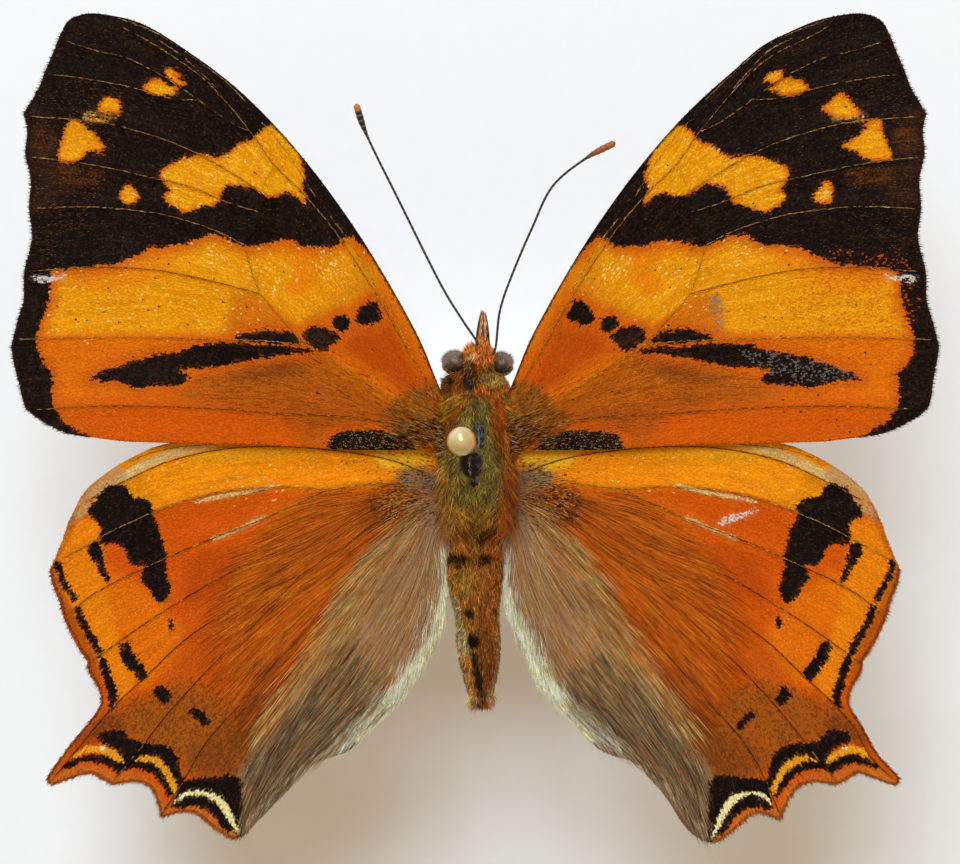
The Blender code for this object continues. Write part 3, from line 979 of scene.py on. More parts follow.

# Wings: their colours, in photo pixels of the left wing, with some painted light and glints among them.
# Later zones lie over earlier ones.

FORE_ZONES = Zone.read("""
    DEEP_ORANGE 0.9 0.9 0.1: 62,412 100,400 140,396 200,396 300,400 440,420 445,455 70,455;
    GOLD 0.3 1: 54,262 50,300 44,322 43,333 120,334 190,333 226,334 232,312 250,296 275,308 298,326
        318,318 345,306 368,292 380,276 372,252 345,238 300,240 205,230 160,240 100,262;
    BRIGHT_ORANGE 0.4 0.7 0.3: 96,262 150,250 176,262 120,290 70,286;
    BRIGHT_ORANGE 0.3 0.8 0.4: 266,244 300,246 322,254 318,278 304,296 284,290 296,270 280,256;
    AMBER 0.3 0.7 0.2: 233,292 258,294 266,306 290,326 262,334 224,336 228,314;
    AMBER 0.7 0.6 0.2: 355,250 376,262 384,290 362,300 330,318 308,320 330,300 352,280;
    AMBER 0.25 0.5 0.5: 355,232 372,250 402,300 425,345 440,385 428,392 408,352 386,300 368,268
        345,240;
    RED_ORANGE 0.6 0.9 0.1: 306,350 342,326 384,306 398,330 414,360 428,388 408,396 380,378 345,355
        320,340;
    DEEP_ORANGE 0.5 0.8 0.4: 400,322 418,352 440,392 424,398 408,352;
    UMBER 0.6 0.75 0.7: 170,386 205,372 262,356 312,354 348,372 396,404 436,424 440,440 330,424
        240,408 190,402;
    UMBER 0.6 0.95 0.6: 240,358 285,350 318,350 300,372 250,380;
    BROWN 0.5 0.45 0.7: 225,366 262,358 300,358 280,378 232,384;
    RED_ORANGE 0.25 0.7 0.3: 350,322 372,318 376,334 358,340 344,334;
    UMBER 0.7 0.55 0.6: 300,414 440,420 440,452 330,452 300,440;
    OLIVE_BROWN 0.45 0.8 0.9: 402,398 428,380 446,396 446,446 418,440 392,430
""")
FORE_SMOKE = Zone.read("""
    SOOT 0.5 0.7 1: 24,112 50,118 62,150 75,175 60,200 24,205;
    UMBER 0.3 0.18 1.6: 60,170 80,168 104,172 98,184 76,184 62,178;
    UMBER 0.25 0.18 1.6: 38,130 52,130 56,144 44,152 36,146;
    HONEY 0.15 0.45 2.2: 84,114 104,111 120,113 118,120 100,123 84,123;
    SOOT 0.3 0.8 1.4: 300,330 330,336 322,352 300,344 290,336
""")
FORE_DARK_PX = marks("""
    tip: 10,272 60,270 80,268 100,266 120,263 135,256 150,249 175,245 190,243 205,236 220,236 238,243
        250,247 270,242 282,240 295,242 305,246 325,247 335,246 340,241 350,237 358,241 372,255
        390,250 340,190 300,135 240,72 160,12 100,-10 30,20 5,110;
    rim: 50,262 53,275 50,288 50,300 43,320 38,333 37,345 38,352 43,360 48,368 53,375 53,395 55,405
        60,413 63,420 72,427 80,432 92,440 60,450 0,420 -5,300 10,262;
    streak: 312,352 300,347 258,345 235,343 200,345 178,352 150,356 130,363 115,367 100,373 90,379
        100,381 115,381 125,384 140,388 155,386 170,386 182,384 190,378 180,370 200,368 225,366
        250,361 275,356 295,354;
    smudge: 236,339 250,332 270,330 290,332 300,342 280,344 258,342;
    cell spot 1: 303,338 305,331 315,326 327,328 336,333 340,338 332,345 325,353 315,348 308,343;
    cell spot 2: 335,318 342,315 350,322 346,331 338,330 332,324;
    cell spot 3: 356,316 362,306 372,300 378,303 383,318 376,323 366,325 358,323;
    root: 332,452 330,440 342,432 370,430 396,435 408,441 410,455
""")
FORE_PATCH_PX = marks("""
    tip patch: 276,124 262,129 250,141 238,145 228,153 218,158 205,155 192,156 180,160 168,166 161,174
        166,184 170,190 164,197 170,205 180,211 189,213 200,208 212,206 220,200 222,192 231,186
        245,186 256,191 266,197 277,196 287,193 298,198 305,204 306,196 302,188 305,178 303,165
        300,155 292,130;
    spot 1: 164,71 170,69 176,73 181,80 187,84 183,87 176,85 169,80;
    spot 2: 143,87 150,82 160,80 170,84 178,89 172,96 163,97 152,94;
    spot 3: 98,108 102,101 109,97 117,100 122,107 120,112 108,113 100,112;
    spot 4: 60,160 59,150 63,140 66,128 70,121 78,120 84,125 92,131 100,140 105,147 100,152 88,153
        82,158 75,163 66,163;
    spot 5: 120,198 122,190 127,185 134,188 139,196 135,203 127,206
""")
# The GLINT rows are painted glints: single scales painted pale yellow where light sparkles on the gold and
# on the tip patch.
FORE_SPARKLES = Zone.read("""
    GLINT 0.2 0.015: 45,262 45,337 226,338 300,325 375,292 372,250 300,236 160,236;
    GLINT 0.3 0.08: 196,250 212,242 226,248 226,262 208,268;
    GLINT 0.3 0.08: 245,262 280,258 300,275 290,300 262,292 248,280;
    GLINT 0.3 0.16: 318,250 330,252 350,276 345,284 322,278;
    GLINT 0.2 0.03: 160,155 306,120 306,204 160,215;
    CREAM 0.2 0.08: 120,190 130,188 138,196 130,204 122,202
""")
FORE_WORN_PX = marks("""
    rim tip: 35,277 44,275 56,277 66,275 65,279 54,280 46,283 40,282
""")

# Two hindwing zones are painted light: the bright orange zone over the front band and the first pale gold
# zone after it lighten the strip along the forewing's rear edge, where the forewing's shadow falls.
HIND_ZONES = Zone.read("""
    GOLD 0.12 0.75 0.1: 78,512 100,478 140,440 190,430 260,430 450,430 425,474 378,485 325,489 271,487
        234,489 191,497 148,511 120,505;
    GOLD 0.3 0.9 0.3: 190,436 262,436 262,456 226,468 186,470 172,460;
    ORANGE 0.6 0.8 0.2: 262,476 300,464 372,462 425,474 378,485 325,489 268,488;
    AMBER 0.14 0.7 0.3: 160,502 190,484 230,474 262,467 262,475 232,483 192,493 164,506;
    BRIGHT_ORANGE 0.25 1 0.1: 50,530 96,520 102,545 106,575 114,610 122,645 136,676 118,700 95,660
        72,612 50,570;
    ORANGE 0.5 0.9 0.1: 104,572 140,585 168,612 182,640 164,672 140,688 124,650 112,612;
    RED_ORANGE 0.6 0.8 0.2: 190,560 230,548 250,560 222,590 186,602;
    AMBER 0.8 0.35 0.5: 285,500 400,490 392,540 352,570 320,620 262,700 232,640 240,560;
    UMBER 0.9 0.4 1.1: 372,490 271,535 217,598 170,670 190,700 262,750 240,776 271,733 311,671 330,634
        351,580 418,512;
    UMBER 0.6 0.5 1: 330,500 400,500 350,545 290,560 300,520;
    OLIVE_BROWN 0.55 0.9 0.6: 55,780 98,718 138,698 185,686 235,704 262,735 240,790 220,784 180,772
        165,752 130,742 92,740;
    BROWN 0.6 0.75 0.8: 262,690 276,700 256,770 200,775 190,752 230,730;
    BROWN 0.3 0.7 0.8: 76,742 96,722 116,716 124,732 100,736 84,750;
    BROWN 0.5 0.6 0.8: 255,668 285,656 322,676 304,722 262,734;
    DUN 0.45 1 0.9: 424,506 351,580 330,634 311,671 271,733 240,778 236,846 262,822 300,780 345,745
        400,690 440,640 455,600 445,530;
    LILAC_BROWN 0.3 1 0.7: 424,500 470,470 470,720 250,880 236,846 300,780 345,745 400,690;
    SMOKE 0.5 0.85 0.8: 345,655 306,690 262,745 232,790 228,860 270,850 320,790 395,725 385,675;
    LILAC_BROWN 0.6 0.8 0.6: 385,572 425,545 440,590 426,640 392,672 368,640 372,600;
    PALE_GREEN 0.15 0.95 0.2: 460,560 443,590 430,634 404,676 356,722 368,742 470,660;
    FLAME 0.3 0.6 0.2: 140,446 190,434 440,434 425,470 325,486 234,486 164,500;
    PALE_GOLD 0.25 0.4 0.1: 190,436 440,436 440,450 300,456 190,460;
    PALE_GOLD 0.2 0.95 0.4: 372,445 400,442 426,446 424,466 398,470 378,464;
    STRAW 0.04 0.9 0.6: 192,501 215,495 245,490 275,484 275,487 246,494 216,499 194,504;
    STRAW 0.04 0.8 0.6: 210,538 236,528 264,516 265,519 238,531 212,541;
    RED_ORANGE 0.1 0.8 0.3: 68,754 80,742 96,737 112,742 110,750 98,746 84,748 74,758;
    STRAW 0.05 0.9 0.6: 116,478 140,462 175,448 217,440 217,445 178,456 146,469 122,482;
    DUN 0.15 0.9 1.2: 64,524 74,500 96,480 118,466 126,478 108,488 95,501 80,518;
    UMBER 0.15 0.7 1: 40,560 60,545 68,512 76,520 66,545 58,562 64,590 78,622 94,655 98,700 86,690
        80,650 62,615 50,585;
    RUST 0.1 0.9 0.3: 44,786 62,771 80,766 96,767 112,774 124,772 142,777 160,792 166,806 190,799
        206,808 226,830 240,840 236,850 170,830 150,800 110,790 44,792
""")
HIND_DARK_PX = marks("""
    blotch: 88,508 95,500 100,492 105,488 118,483 127,488 130,496 145,498 153,505 152,512 155,520
        160,532 163,545 166,556 165,566 168,580 170,590 166,600 160,603 153,598 150,590 142,582
        141,572 145,567 135,566 128,560 126,552 120,546 112,543 103,545 98,538 100,528 95,520 88,516;
    inner line: 88,545 96,541 101,548 103,558 105,568 110,578 107,583 101,577 97,567 90,558 87,550;
    bar: 118,645 125,642 131,650 135,658 142,666 147,674 140,682 137,680 131,673 124,665 120,657;
    spot 1: 152,693 156,686 162,685 168,692 169,699 164,705 157,700;
    spot 2: 188,714 193,707 198,708 204,715 210,722 205,727 198,722;
    speck: 168,620 171,617 173,624 171,631 168,628;
    rim 1: 54,563 60,560 63,572 69,586 76,598 72,603 64,591 57,576;
    rim 2: 73,606 78,605 84,618 91,632 98,642 102,652 96,655 88,642 79,626;
    rim 3: 98,658 104,657 109,670 114,684 117,696 112,708 108,710 108,696 102,678;
    bands 1 and 2: 96,741 99,734 109,731 123,732 129,739 139,743 152,744 166,747 174,753 178,764
        181,775 183,786 178,792 172,797 167,797 161,786 152,776 142,771 129,770 117,774 109,769 99,765
        86,763 75,766 64,771 62,768 70,761 84,756 98,754 112,756 118,754 108,746;
    band 3: 177,791 184,783 193,779 209,779 223,776 236,778 241,790 242,836 232,833 226,833 220,826
        213,818 204,811 193,808 180,809 170,808 172,803
""")
HIND_PATCH_PX = marks("""
    crescent 1: 70,759 79,750 88,746 102,747 112,751 120,757 123,764 116,762 107,757 97,754 86,753
        78,757;
    crescent 2: 131,762 142,757 155,758 164,765 171,775 176,788 174,796 169,787 164,776 156,768
        147,763 137,762
""")
HIND_CREAM_PX = marks("""
    crescent 3: 172,804 180,796 191,792 204,793 215,796 224,803 229,811 234,823 239,835 233,829
        227,820 220,810 212,801 201,796 188,796 178,801;
    crescent 1: 99,748 103,747 106,749 102,751
""")
# The two GLINT rows are painted glints on the gold band; the other rows are specks of the wing's own
# colours.
HIND_SPARKLES = Zone.read("""
    BROWN 0.2 0.07: 340,440 440,440 436,474 350,474;
    GLINT 0.3 0.012: 98,500 190,445 440,440 425,474 148,511;
    GLINT 0.15 0.05: 262,486 290,484 290,492 262,497;
    GINGER 0.3 0.45: 376,494 405,488 426,500 412,518 388,522 378,512;
    BRIGHT_ORANGE 0.4 0.16: 184,752 214,742 240,756 240,780 200,780 184,776;
    BROWN 0.4 0.3: 75,766 98,718 138,698 185,680 250,690 262,735 240,790 180,772 130,742;
    RUST 0.15 0.25: 190,812 212,816 238,840 228,848 206,834
""")
HIND_ROOT_PX = Zone.read("""
    BLACK 0.3 0.75 1: 368,500 385,490 404,487 426,500 418,520 390,528 374,518;
    SMOKE 0.3 0.9 0.6: 398,472 425,468 440,480 430,494 402,488
""")
UNDER_ZONES = {
    Pair.FORE: Zone.read("""
        AMBER 0.5 1 0.2: 54,280 45,430 440,445 440,390 372,255 300,245 160,250;
        RED_ORANGE 0.6 0.8 0.2: 200,440 200,380 340,330 400,320 440,440;
        TAN 0.4 0.7 0.4: 20,20 110,15 90,120 60,200 20,210
    """),
    Pair.HIND: Zone.read("""
        TAN 0.5 0.8 0.3: 80,480 200,440 300,440 220,560 90,640;
        RUST 0.7 0.8 0.3: 300,440 440,440 420,560 300,720 200,780 170,700 230,560;
        CREAM 0.15 0.7 0.6: 285,445 300,446 262,540 225,640 215,765 200,765 208,640 245,540
    """),
}
HAIR_PATCHES = {
    Pair.FORE: HairPatch.read("""
        1300 0.36 0.013 0.05 0 SOOT OLIVE_GOLD BROWN GINGER OLIVE: 396,404 428,388 448,404 446,446
            405,440 385,426;
        1300 0.6 0.012 0.015 0: 200,380 330,356 400,396 440,425 330,430 230,404;
        1500 0.15 0.01 0.01 0 BROWN COPPER UMBER BROWN dark: 20,20 100,8 180,20 300,135 380,250
            200,250 20,275;
        800 0.15 0.011 0.01 0 COPPER UMBER BROWN HONEY dark: 22,90 110,84 120,120 100,200 50,262
            22,270;
        900 0.1 0.014 0.015 0 GLINT GINGER CREAM BROWN BROWN dark: 326,428 412,430 414,454
            326,454;
        620 0.35 0.017 0.14 0 BLACK SOOT RUST BLACK STRAW: 400,432 448,420 448,456 404,454
    """),
    Pair.HIND: HairPatch.read("""
        3400 2 0.015 0.03 0: 372,496 340,492 310,502 262,540 232,590 222,640 240,690 266,720
            300,680 326,632 348,585 388,540 398,524;
        1500 1.9 0.012 0.05 0 TAN TAN DUN HONEY LILAC_BROWN UMBER: 425,498 385,540 356,582 345,640
            330,690 395,672 430,620 440,560 436,515;
        900 1.6 0.013 0.06 0 GINGER TAN UMBER OLIVE_GOLD DUN: 424,503 352,574 334,630 318,660
            338,668 356,630 378,582;
        640 1.6 0.016 0.1 0 HONEY GINGER TAN STRAW: 394,534 382,538 340,596 302,658 258,722
            270,728 314,668 352,608;
        1500 1.8 0.013 0.07 0 SMOKE BROWN SOOT DUN SMOKE TAN: 345,640 306,690 262,745 248,785
            250,812 268,805 300,775 345,740 390,700 378,664;
        1200 1.2 0.014 0.05 -0.25 PALE_GREEN PALE_GREEN CREAM: 443,548 448,590 438,640 416,682
            386,714 346,744 336,738 376,702 406,664 427,622 440,585 441,550;
        900 1 0.012 0.08 -0.15 PALE_GREEN TAN SMOKE DUN: 384,705 344,735 300,768 264,800 246,825
            250,812 300,776 340,742 380,706;
        1100 0.22 0.017 0.07 0 BLACK SOOT BLACK GINGER BLACK TAN: 436,464 398,472 372,494 388,522
            438,520
    """),
}
RIGHT_SPECKS = {
    Pair.FORE: Zone.read("""
        DEEP_ORANGE 0.3 0.16: 800,262 905,262 905,336 800,338;
        GREY 0.12 0.45: 712,285 720,300 726,328 718,332 708,305;
        GREY 0.2 0.3: 740,350 790,356 850,370 846,382 780,378
    """),
    Pair.HIND: Zone.read("""
        BARE 0.03 0.75: 715,522 735,514 760,510 742,519 722,525
    """),
}
RIGHT_FORE_PATCH_PX = marks("""
    spot 1: 764,82 766,76 772,71 778,70 783,72 783,78 776,84;
    spot 2: 768,90 778,83 788,78 798,80 808,88 800,93 788,95 776,94;
    spot 3: 822,110 828,102 838,93 847,97 853,104 858,112 850,119 838,117;
    spot 4: 842,146 852,140 862,130 868,122 878,119 882,130 886,142 892,159 878,161 862,158 852,151;
    spot 5: 812,200 814,193 820,188 824,182 830,183 832,198 828,203 818,203
""")
RIGHT_HIND_DARK_PX = marks("""
    spot 1: 776,700 778,695 783,686 788,687 793,697 787,702 783,707;
    spot 2: 736,728 742,720 748,713 754,714 755,719 748,723 742,730
""")


@dataclass
class Wing:
    """One wing: a thin membrane with raised veins, its coats of scales, its fringe and its hair."""

    form: WingForm
    side: Side
    dihedral: float = math.radians(2.5)
    arch: float = 0.3
    droop: float = 0.5
    half_span: float = 25.1
    reach: float = 23.2
    membrane: float = 0.09
    border_step: float = 0.13
    fill_step: float = 0.36
    vein_width: float = 0.075
    vein_height: float = 0.06
    vein_reach: float = 1.6
    sag: float = 0.10
    sag_width: float = 0.7
    small_waves: float = 0.035
    large_waves: float = 0.10
    upper_pitch: float = 0.101
    under_pitch: float = 0.195
    coat_limit: int = 45000
    streak_size: tuple[float, float] = (0.085, 0.9)
    tooth_size: tuple[float, float] = (0.08, 0.2)
    scale_length: tuple[float, float] = (1.6, 2.4)
    scale_width: tuple[float, float] = (0.95, 1.4)
    scale_lift: tuple[float, float] = (0.008, 0.022)
    scale_stray: float = 0.17
    scale_keel: float = 0.02
    fringe_length: tuple[float, float] = (0.15, 0.38)
    fringe_radius: tuple[float, float] = (0.020, 0.038)
    shift_reach: float = 1.6
    vein_scale_step: float = 0.04
    vein_scale_stride: int = 6
    fringe_step: float = 0.018
    eyespots_u: float = 20.6
    eyespots_v: tuple[float, ...] = (-9.6, -12.0, -14.6, -17.2)
    eyespots_slant: float = 0.35
    border: Array = field(init=False)
    veins: list[Array] = field(init=False)
    guides: list[Array] = field(init=False)

    def __post_init__(self) -> None:
        """Works out the outline and the veins of this side."""
        runs = [self.shifted(smooth_curve(run, self.border_step))[:-1] for run in self.form.runs]
        self.border = np.vstack(runs)
        self.veins = [self.shifted(smooth_curve(vein.points, 0.25)) for vein in self.form.veins]
        self.guides = [self.shifted(smooth_curve(guide, 0.5)) for guide in self.form.guides]

    @property
    def name(self) -> str:
        """The wing's node name."""
        return f"{self.form.pair.value}_{self.side.word}"

    @property
    def seed(self) -> int:
        """A number of its own for the wing's random draws."""
        return 40 + 10 * (self.form.pair is Pair.HIND) + self.side.value

    def shifted(self, points: Array) -> Array:
        """Wing points moved to where the right wing differs from the left.

        Args:
            points: Points of the left wing's form.

        Returns:
            The same points on this wing.
        """
        if self.side is Side.LEFT:
            return points
        moved = points.copy()
        for place, shift in self.form.right_shifts:
            away = np.linalg.norm(points - place, axis=1)
            moved += np.exp(-((away / self.shift_reach) ** 2))[:, None] * shift
        return moved

    def height(self, spots: Spots) -> Array:
        """Height of the wing's upper face at each spot, in millimetres in the row frame.

        Args:
            spots: Places on the wing.

        Returns:
            The heights.
        """
        u, v = spots.points[:, 0], spots.points[:, 1]
        rise = math.tan(self.dihedral) * u
        rise = rise + self.arch * np.sin(math.pi * np.minimum(1.0, u / self.half_span))
        rise = rise - self.droop * (v / self.reach) ** 2
        vein = np.min([spots.distance(chain, self.vein_reach) for chain in self.veins], axis=0)
        ridge = self.vein_height * np.exp(-((vein / self.vein_width) ** 2))
        sag = self.sag * (1 - np.exp(-((vein / self.sag_width) ** 2)))
        waves = self.small_waves * smooth_noise(spots.points, 1.3, self.seed)
        waves = waves + self.large_waves * smooth_noise(spots.points, 5.0, self.seed)
        return self.form.plane_z + rise + ridge - sag + waves

    def in_frame(self, points: Array, heights: Array) -> Array:
        """Wing points with their heights, in the row frame."""
        return np.column_stack([self.side.value * points[:, 0], points[:, 1], heights])

    def flow(self, points: Array) -> Array:
        """The direction in which scales and hair lie: along the nearest veins, towards the rim.

        Args:
            points: Wing points.

        Returns:
            A unit vector for each.
        """
        along = [chain for vein, chain in zip(self.form.veins, self.veins) if not vein.is_cross]
        along += self.guides
        places = np.vstack([chain[:-1] for chain in along])
        steps = unit(np.vstack([np.diff(chain, axis=0) for chain in along]))
        outward = places - np.array((1.0, 0.4 if self.form.pair is Pair.FORE else -2.5))
        steps *= np.where((steps * outward).sum(1, keepdims=True) < 0, -1.0, 1.0)

        def blended(some: Array) -> Array:
            """The direction at some of the points."""
            square = ((some[:, None, :] - places) ** 2).sum(2)
            return unit(1 / (square + 0.5) ** 2 @ steps)

        return in_chunks(blended, points, 2000)

    def streaks(self, points: Array, flow: Array, cell: float, reach: float) -> Array:
        """Noise between -1 and 1 that is drawn out along the flow.

        Args:
            points: Wing points.
            flow: The direction of the scales at each.
            cell: How wide a streak is.
            reach: Half of its length.

        Returns:
            The noise at each point.
        """
        steps, contrast = 9, 3.0
        total = np.zeros(len(points))
        for step in np.linspace(-reach, reach, steps):
            total += smooth_noise(points + flow * step, cell, self.seed + 5)
        return np.clip(total / steps * contrast, -1, 1)

    def outline(self, outline_px: Array, step: float = 0.2) -> Array:
        """A mark's smooth outline on this wing."""
        return self.shifted(smooth_curve(on_wing(outline_px), step, closed=True))

    def zone(self, spots: Spots, zone: Zone, streak: Array) -> Array:
        """How strongly a zone covers each spot, from 0 to 1.

        Args:
            spots: Places on the wing.
            zone: The zone.
            streak: Streaky noise between -1 and 1 for each place.

        Returns:
            The cover of each place.
        """
        depth = spots.depth(self.outline(zone.outline_px, 0.4), zone.soft + 0.4)
        cover = ramp(depth, -zone.soft, zone.soft) * zone.strength
        return cover * (1 + zone.streaked * (streak - 0.2) * 0.9)

    def depth(self, spots: Spots, outlines_px: dict[str, Array],
              right_px: dict[str, Array] | None = None) -> Array:
        """Depth of each spot inside the nearest of several marks.

        Args:
            spots: Where to measure.
            outlines_px: The left wing's marks, which the right one mirrors.
            right_px: Marks of the right wing that differ.

        Returns:
            The depths in millimetres, below 0 outside the marks.
        """
        reach = 0.8
        found = np.full(len(spots), -reach)
        differing = right_px if right_px and self.side is Side.RIGHT else {}
        for name, outline_px in outlines_px.items():
            if name in differing:
                outline = smooth_curve(on_wing(differing[name]), 0.2, closed=True)
            else:
                outline = self.outline(outline_px)
            found = np.maximum(found, spots.depth(outline, reach))
        return found

    def paint(self, spots: Spots, grain: Array, face: Face) -> Array:
        """Colours of the wing.

        Args:
            spots: Wing points.
            grain: Two random numbers between 0 and 1 for each.
            face: Which face is painted.

        Returns:
            A colour for each point.
        """
        flow = self.flow(spots.points)
        streak = self.streaks(spots.points, flow, *self.streak_size)
        teeth = self.streaks(spots.points, flow, *self.tooth_size)
        grain = np.column_stack([grain, teeth])
        if face is Face.UNDER:
            return self.paint_under(spots, grain, streak)
        if self.form.pair is Pair.FORE:
            return self.paint_fore(spots, grain, streak)
        return self.paint_hind(spots, grain, streak)

    def lay_zones(self, paint: Paint, zones: Sequence[Zone], spots: Spots, streak: Array) -> None:
        """Paints zones one after the other."""
        for zone in zones:
            paint.lay(self.zone(spots, zone, streak), zone.tone)

    def lay_sparkles(self, paint: Paint, zones: Sequence[Zone], spots: Spots, draw: Array) -> None:
        """Paints single bright scales, where a zone's strength is the share of scales that shine.

        Args:
            paint: The colours so far.
            zones: Where they shine.
            spots: Places on the wing.
            draw: A random number between 0 and 1 for each place.
        """
        for zone in zones:
            share = self.zone(spots, zone, np.zeros(len(spots)))
            paint.lay((draw < share) * 0.7, zone.tone)

    def lay_specks(self, paint: Paint, spots: Spots, draw: Array) -> None:
        """Paints the specks that only the right wing has."""
        if self.side is Side.RIGHT:
            self.lay_sparkles(paint, RIGHT_SPECKS[self.form.pair], spots, draw)

    def lay_veins(self, paint: Paint, spots: Spots, dark: Array) -> None:
        """Paints a thin line under the narrow scales of each vein, except on the dark.

        Args:
            paint: The colours so far.
            spots: Places on the wing.
            dark: How dark the marks make each place, from 0 to 1.
        """
        for vein, chain in zip(self.form.veins, self.veins):
            line = np.exp(-((spots.distance(chain, 0.3) / 0.045) ** 2))
            paint.lay(line * (1 - dark) * (0.15 if vein.is_cross else 0.4), Tone.UMBER)

    def paint_fore(self, spots: Spots, grain: Array, streak: Array) -> Array:
        """Colours of a forewing's upper face.

        Args:
            spots: Places on the wing.
            grain: Two random numbers and the height of the teeth, for each place.
            streak: Streaky noise between -1 and 1 for each place.

        Returns:
            A colour for each place.
        """
        draw, other, teeth = grain.T
        patch = self.depth(spots, FORE_PATCH_PX, RIGHT_FORE_PATCH_PX)
        outer = self.depth(spots, FORE_DARK_PX)
        is_dark = ragged(np.minimum(outer, -patch), grain, 0.012, 0.08)
        paint = Paint(len(spots), Tone.ORANGE)
        self.lay_zones(paint, FORE_ZONES, spots, streak)
        in_patch = ramp(patch, 0.0, 0.05)
        paint.lay(in_patch, Tone.GOLD)
        paint.lay(in_patch * ramp(streak, 0.0, 0.9) * 0.6, Tone.PALE_GOLD)
        gold = ramp(paint.colour[:, 1], 0.22, 0.30)
        paint.lay(gold * ramp(streak, 0.1, 1.0) * 0.35, Tone.PALE_GOLD)
        paint.lay(gold * ramp(-streak, 0.1, 1.0) * 0.35, Tone.ORANGE)
        edge = np.where(patch > 0, ramp(-patch + teeth * 0.06, -0.24, -0.02), ramp(outer, -0.9, -0.05))
        paint.lay(edge * 0.85, Tone.RIM_ORANGE)
        paint.lay((other > 0.997) * (1 - is_dark), Tone.SOOT)
        self.lay_sparkles(paint, FORE_SPARKLES, spots, draw)
        field_paint = Paint(len(spots), Tone.BLACK)
        field_paint.lay(ramp(streak, 0.0, 1.0) * 0.45 + (draw > 0.8) * 0.4, Tone.SOOT)
        self.lay_zones(field_paint, FORE_SMOKE, spots, streak)
        paint.colour = paint.colour + (field_paint.colour - paint.colour) * is_dark[:, None]
        self.lay_veins(paint, spots, is_dark)
        away = spots.distance(self.shifted(smooth_curve(self.form.runs[0], 0.3)), 0.4)
        paint.lay(ramp(away + streak * 0.02, 0.16, 0.08) * 0.92, Tone.BLACK)
        self.lay_specks(paint, spots, draw)
        worn = self.depth(spots, FORE_WORN_PX)
        paint.lay(ragged(worn, grain, 0.02, 0.0, rough=0.16) * 0.8 * (draw < 0.7), Tone.BARE)
        paint.shade(1 + streak * 0.12 + (draw - 0.5) * 0.24)
        return paint.colour

    def paint_hind(self, spots: Spots, grain: Array, streak: Array) -> Array:
        """Colours of a hindwing's upper face.

        Args:
            spots: Places on the wing.
            grain: Two random numbers and the height of the teeth, for each place.
            streak: Streaky noise between -1 and 1 for each place.

        Returns:
            A colour for each place.
        """
        draw = grain[:, 0]
        dark = self.depth(spots, HIND_DARK_PX, RIGHT_HIND_DARK_PX)
        crescent = self.depth(spots, HIND_PATCH_PX)
        cream = self.depth(spots, HIND_CREAM_PX)
        paint = Paint(len(spots), Tone.DEEP_ORANGE)
        self.lay_zones(paint, HIND_ZONES, spots, streak)
        self.lay_zones(paint, HIND_ROOT_PX, spots, streak)
        self.lay_sparkles(paint, HIND_SPARKLES, spots, draw)
        is_dark = ragged(dark, grain, 0.012, 0.07)
        self.lay_veins(paint, spots, is_dark)
        paint.lay(is_dark, Tone.BLACK)
        paint.lay(is_dark * (draw > 0.8) * 0.5, Tone.SOOT)
        paint.lay(ragged(crescent, grain, 0.02, 0.04), Tone.GOLD)
        paint.lay(ramp(crescent, 0.02, 0.10) * 0.5, Tone.HONEY)
        paint.lay(ragged(cream, grain, 0.02, 0.04), Tone.CREAM)
        paint.lay((cream > 0) * 0.4, Tone.GLINT)
        self.lay_specks(paint, spots, draw)
        paint.shade(1 + streak * 0.16 + (draw - 0.5) * 0.22)
        return paint.colour

    def paint_under(self, spots: Spots, grain: Array, streak: Array) -> Array:
        """Colours of a wing's under face: brown, with fine dark lines like those of a map.

        Args:
            spots: Places on the wing.
            grain: Two random numbers and the height of the teeth, for each place.
            streak: Streaky noise between -1 and 1 for each place.

        Returns:
            A colour for each place.
        """
        draw = grain[:, 0]
        rim = spots.depth(self.border, 3.0)
        paint = Paint(len(spots), Tone.BROWN)
        self.lay_zones(paint, UNDER_ZONES[self.form.pair], spots, streak)
        relief = smooth_noise(spots.points, 2.2, self.seed + 7) * 1.1
        relief = relief + smooth_noise(spots.points, 0.8, self.seed + 8) * 0.5 + rim * 0.9
        line = np.abs((relief * 1.2) % 1.0 - 0.5)
        paint.lay(ramp(line, 0.12, 0.03) * 0.7, Tone.SOOT)
        paint.lay(ramp(line, 0.30, 0.46) * 0.3, Tone.LILAC_BROWN)
        if self.form.pair is Pair.FORE:
            dark = self.depth(spots, FORE_DARK_PX)
            patch = self.depth(spots, FORE_PATCH_PX, RIGHT_FORE_PATCH_PX)
            marked = ragged(np.minimum(dark, -patch), grain, 0.1, 0.0, rough=0.2)
            paint.lay(marked * 0.75 * ramp(rim, 1.0, 2.4), Tone.SOOT)
            paint.lay(ramp(patch, 0.0, 0.1) * 0.9, Tone.STRAW)
        else:
            for v in self.eyespots_v:
                u = self.eyespots_u + self.eyespots_slant * (v - self.eyespots_v[0])
                away = np.linalg.norm(spots.points - np.array((u, v)), axis=1)
                paint.lay(ramp(away, 0.62, 0.5), Tone.TAN)
                paint.lay(ramp(away, 0.42, 0.32), Tone.BLACK)
        for chain in self.veins:
            paint.lay(np.exp(-((spots.distance(chain, 0.5) / 0.07) ** 2)) * 0.5, Tone.TAN)
        paint.shade(1 + streak * 0.12 + (draw - 0.5) * 0.3)
        return paint.colour

    def build(self, scales: bpy.types.Material, hair: bpy.types.Material) -> None:
        """Builds the wing and puts it in its node's place.

        Args:
            scales: The finish of scales and membrane.
            hair: The finish of the hair.
        """
        self.add_membrane(scales)
        self.add_scales(Face.UPPER, self.upper_pitch, scales)
        self.add_scales(Face.UNDER, self.under_pitch, scales)
        self.add_vein_scales(scales)
        self.add_fringe(hair)
        self.add_hair(hair)

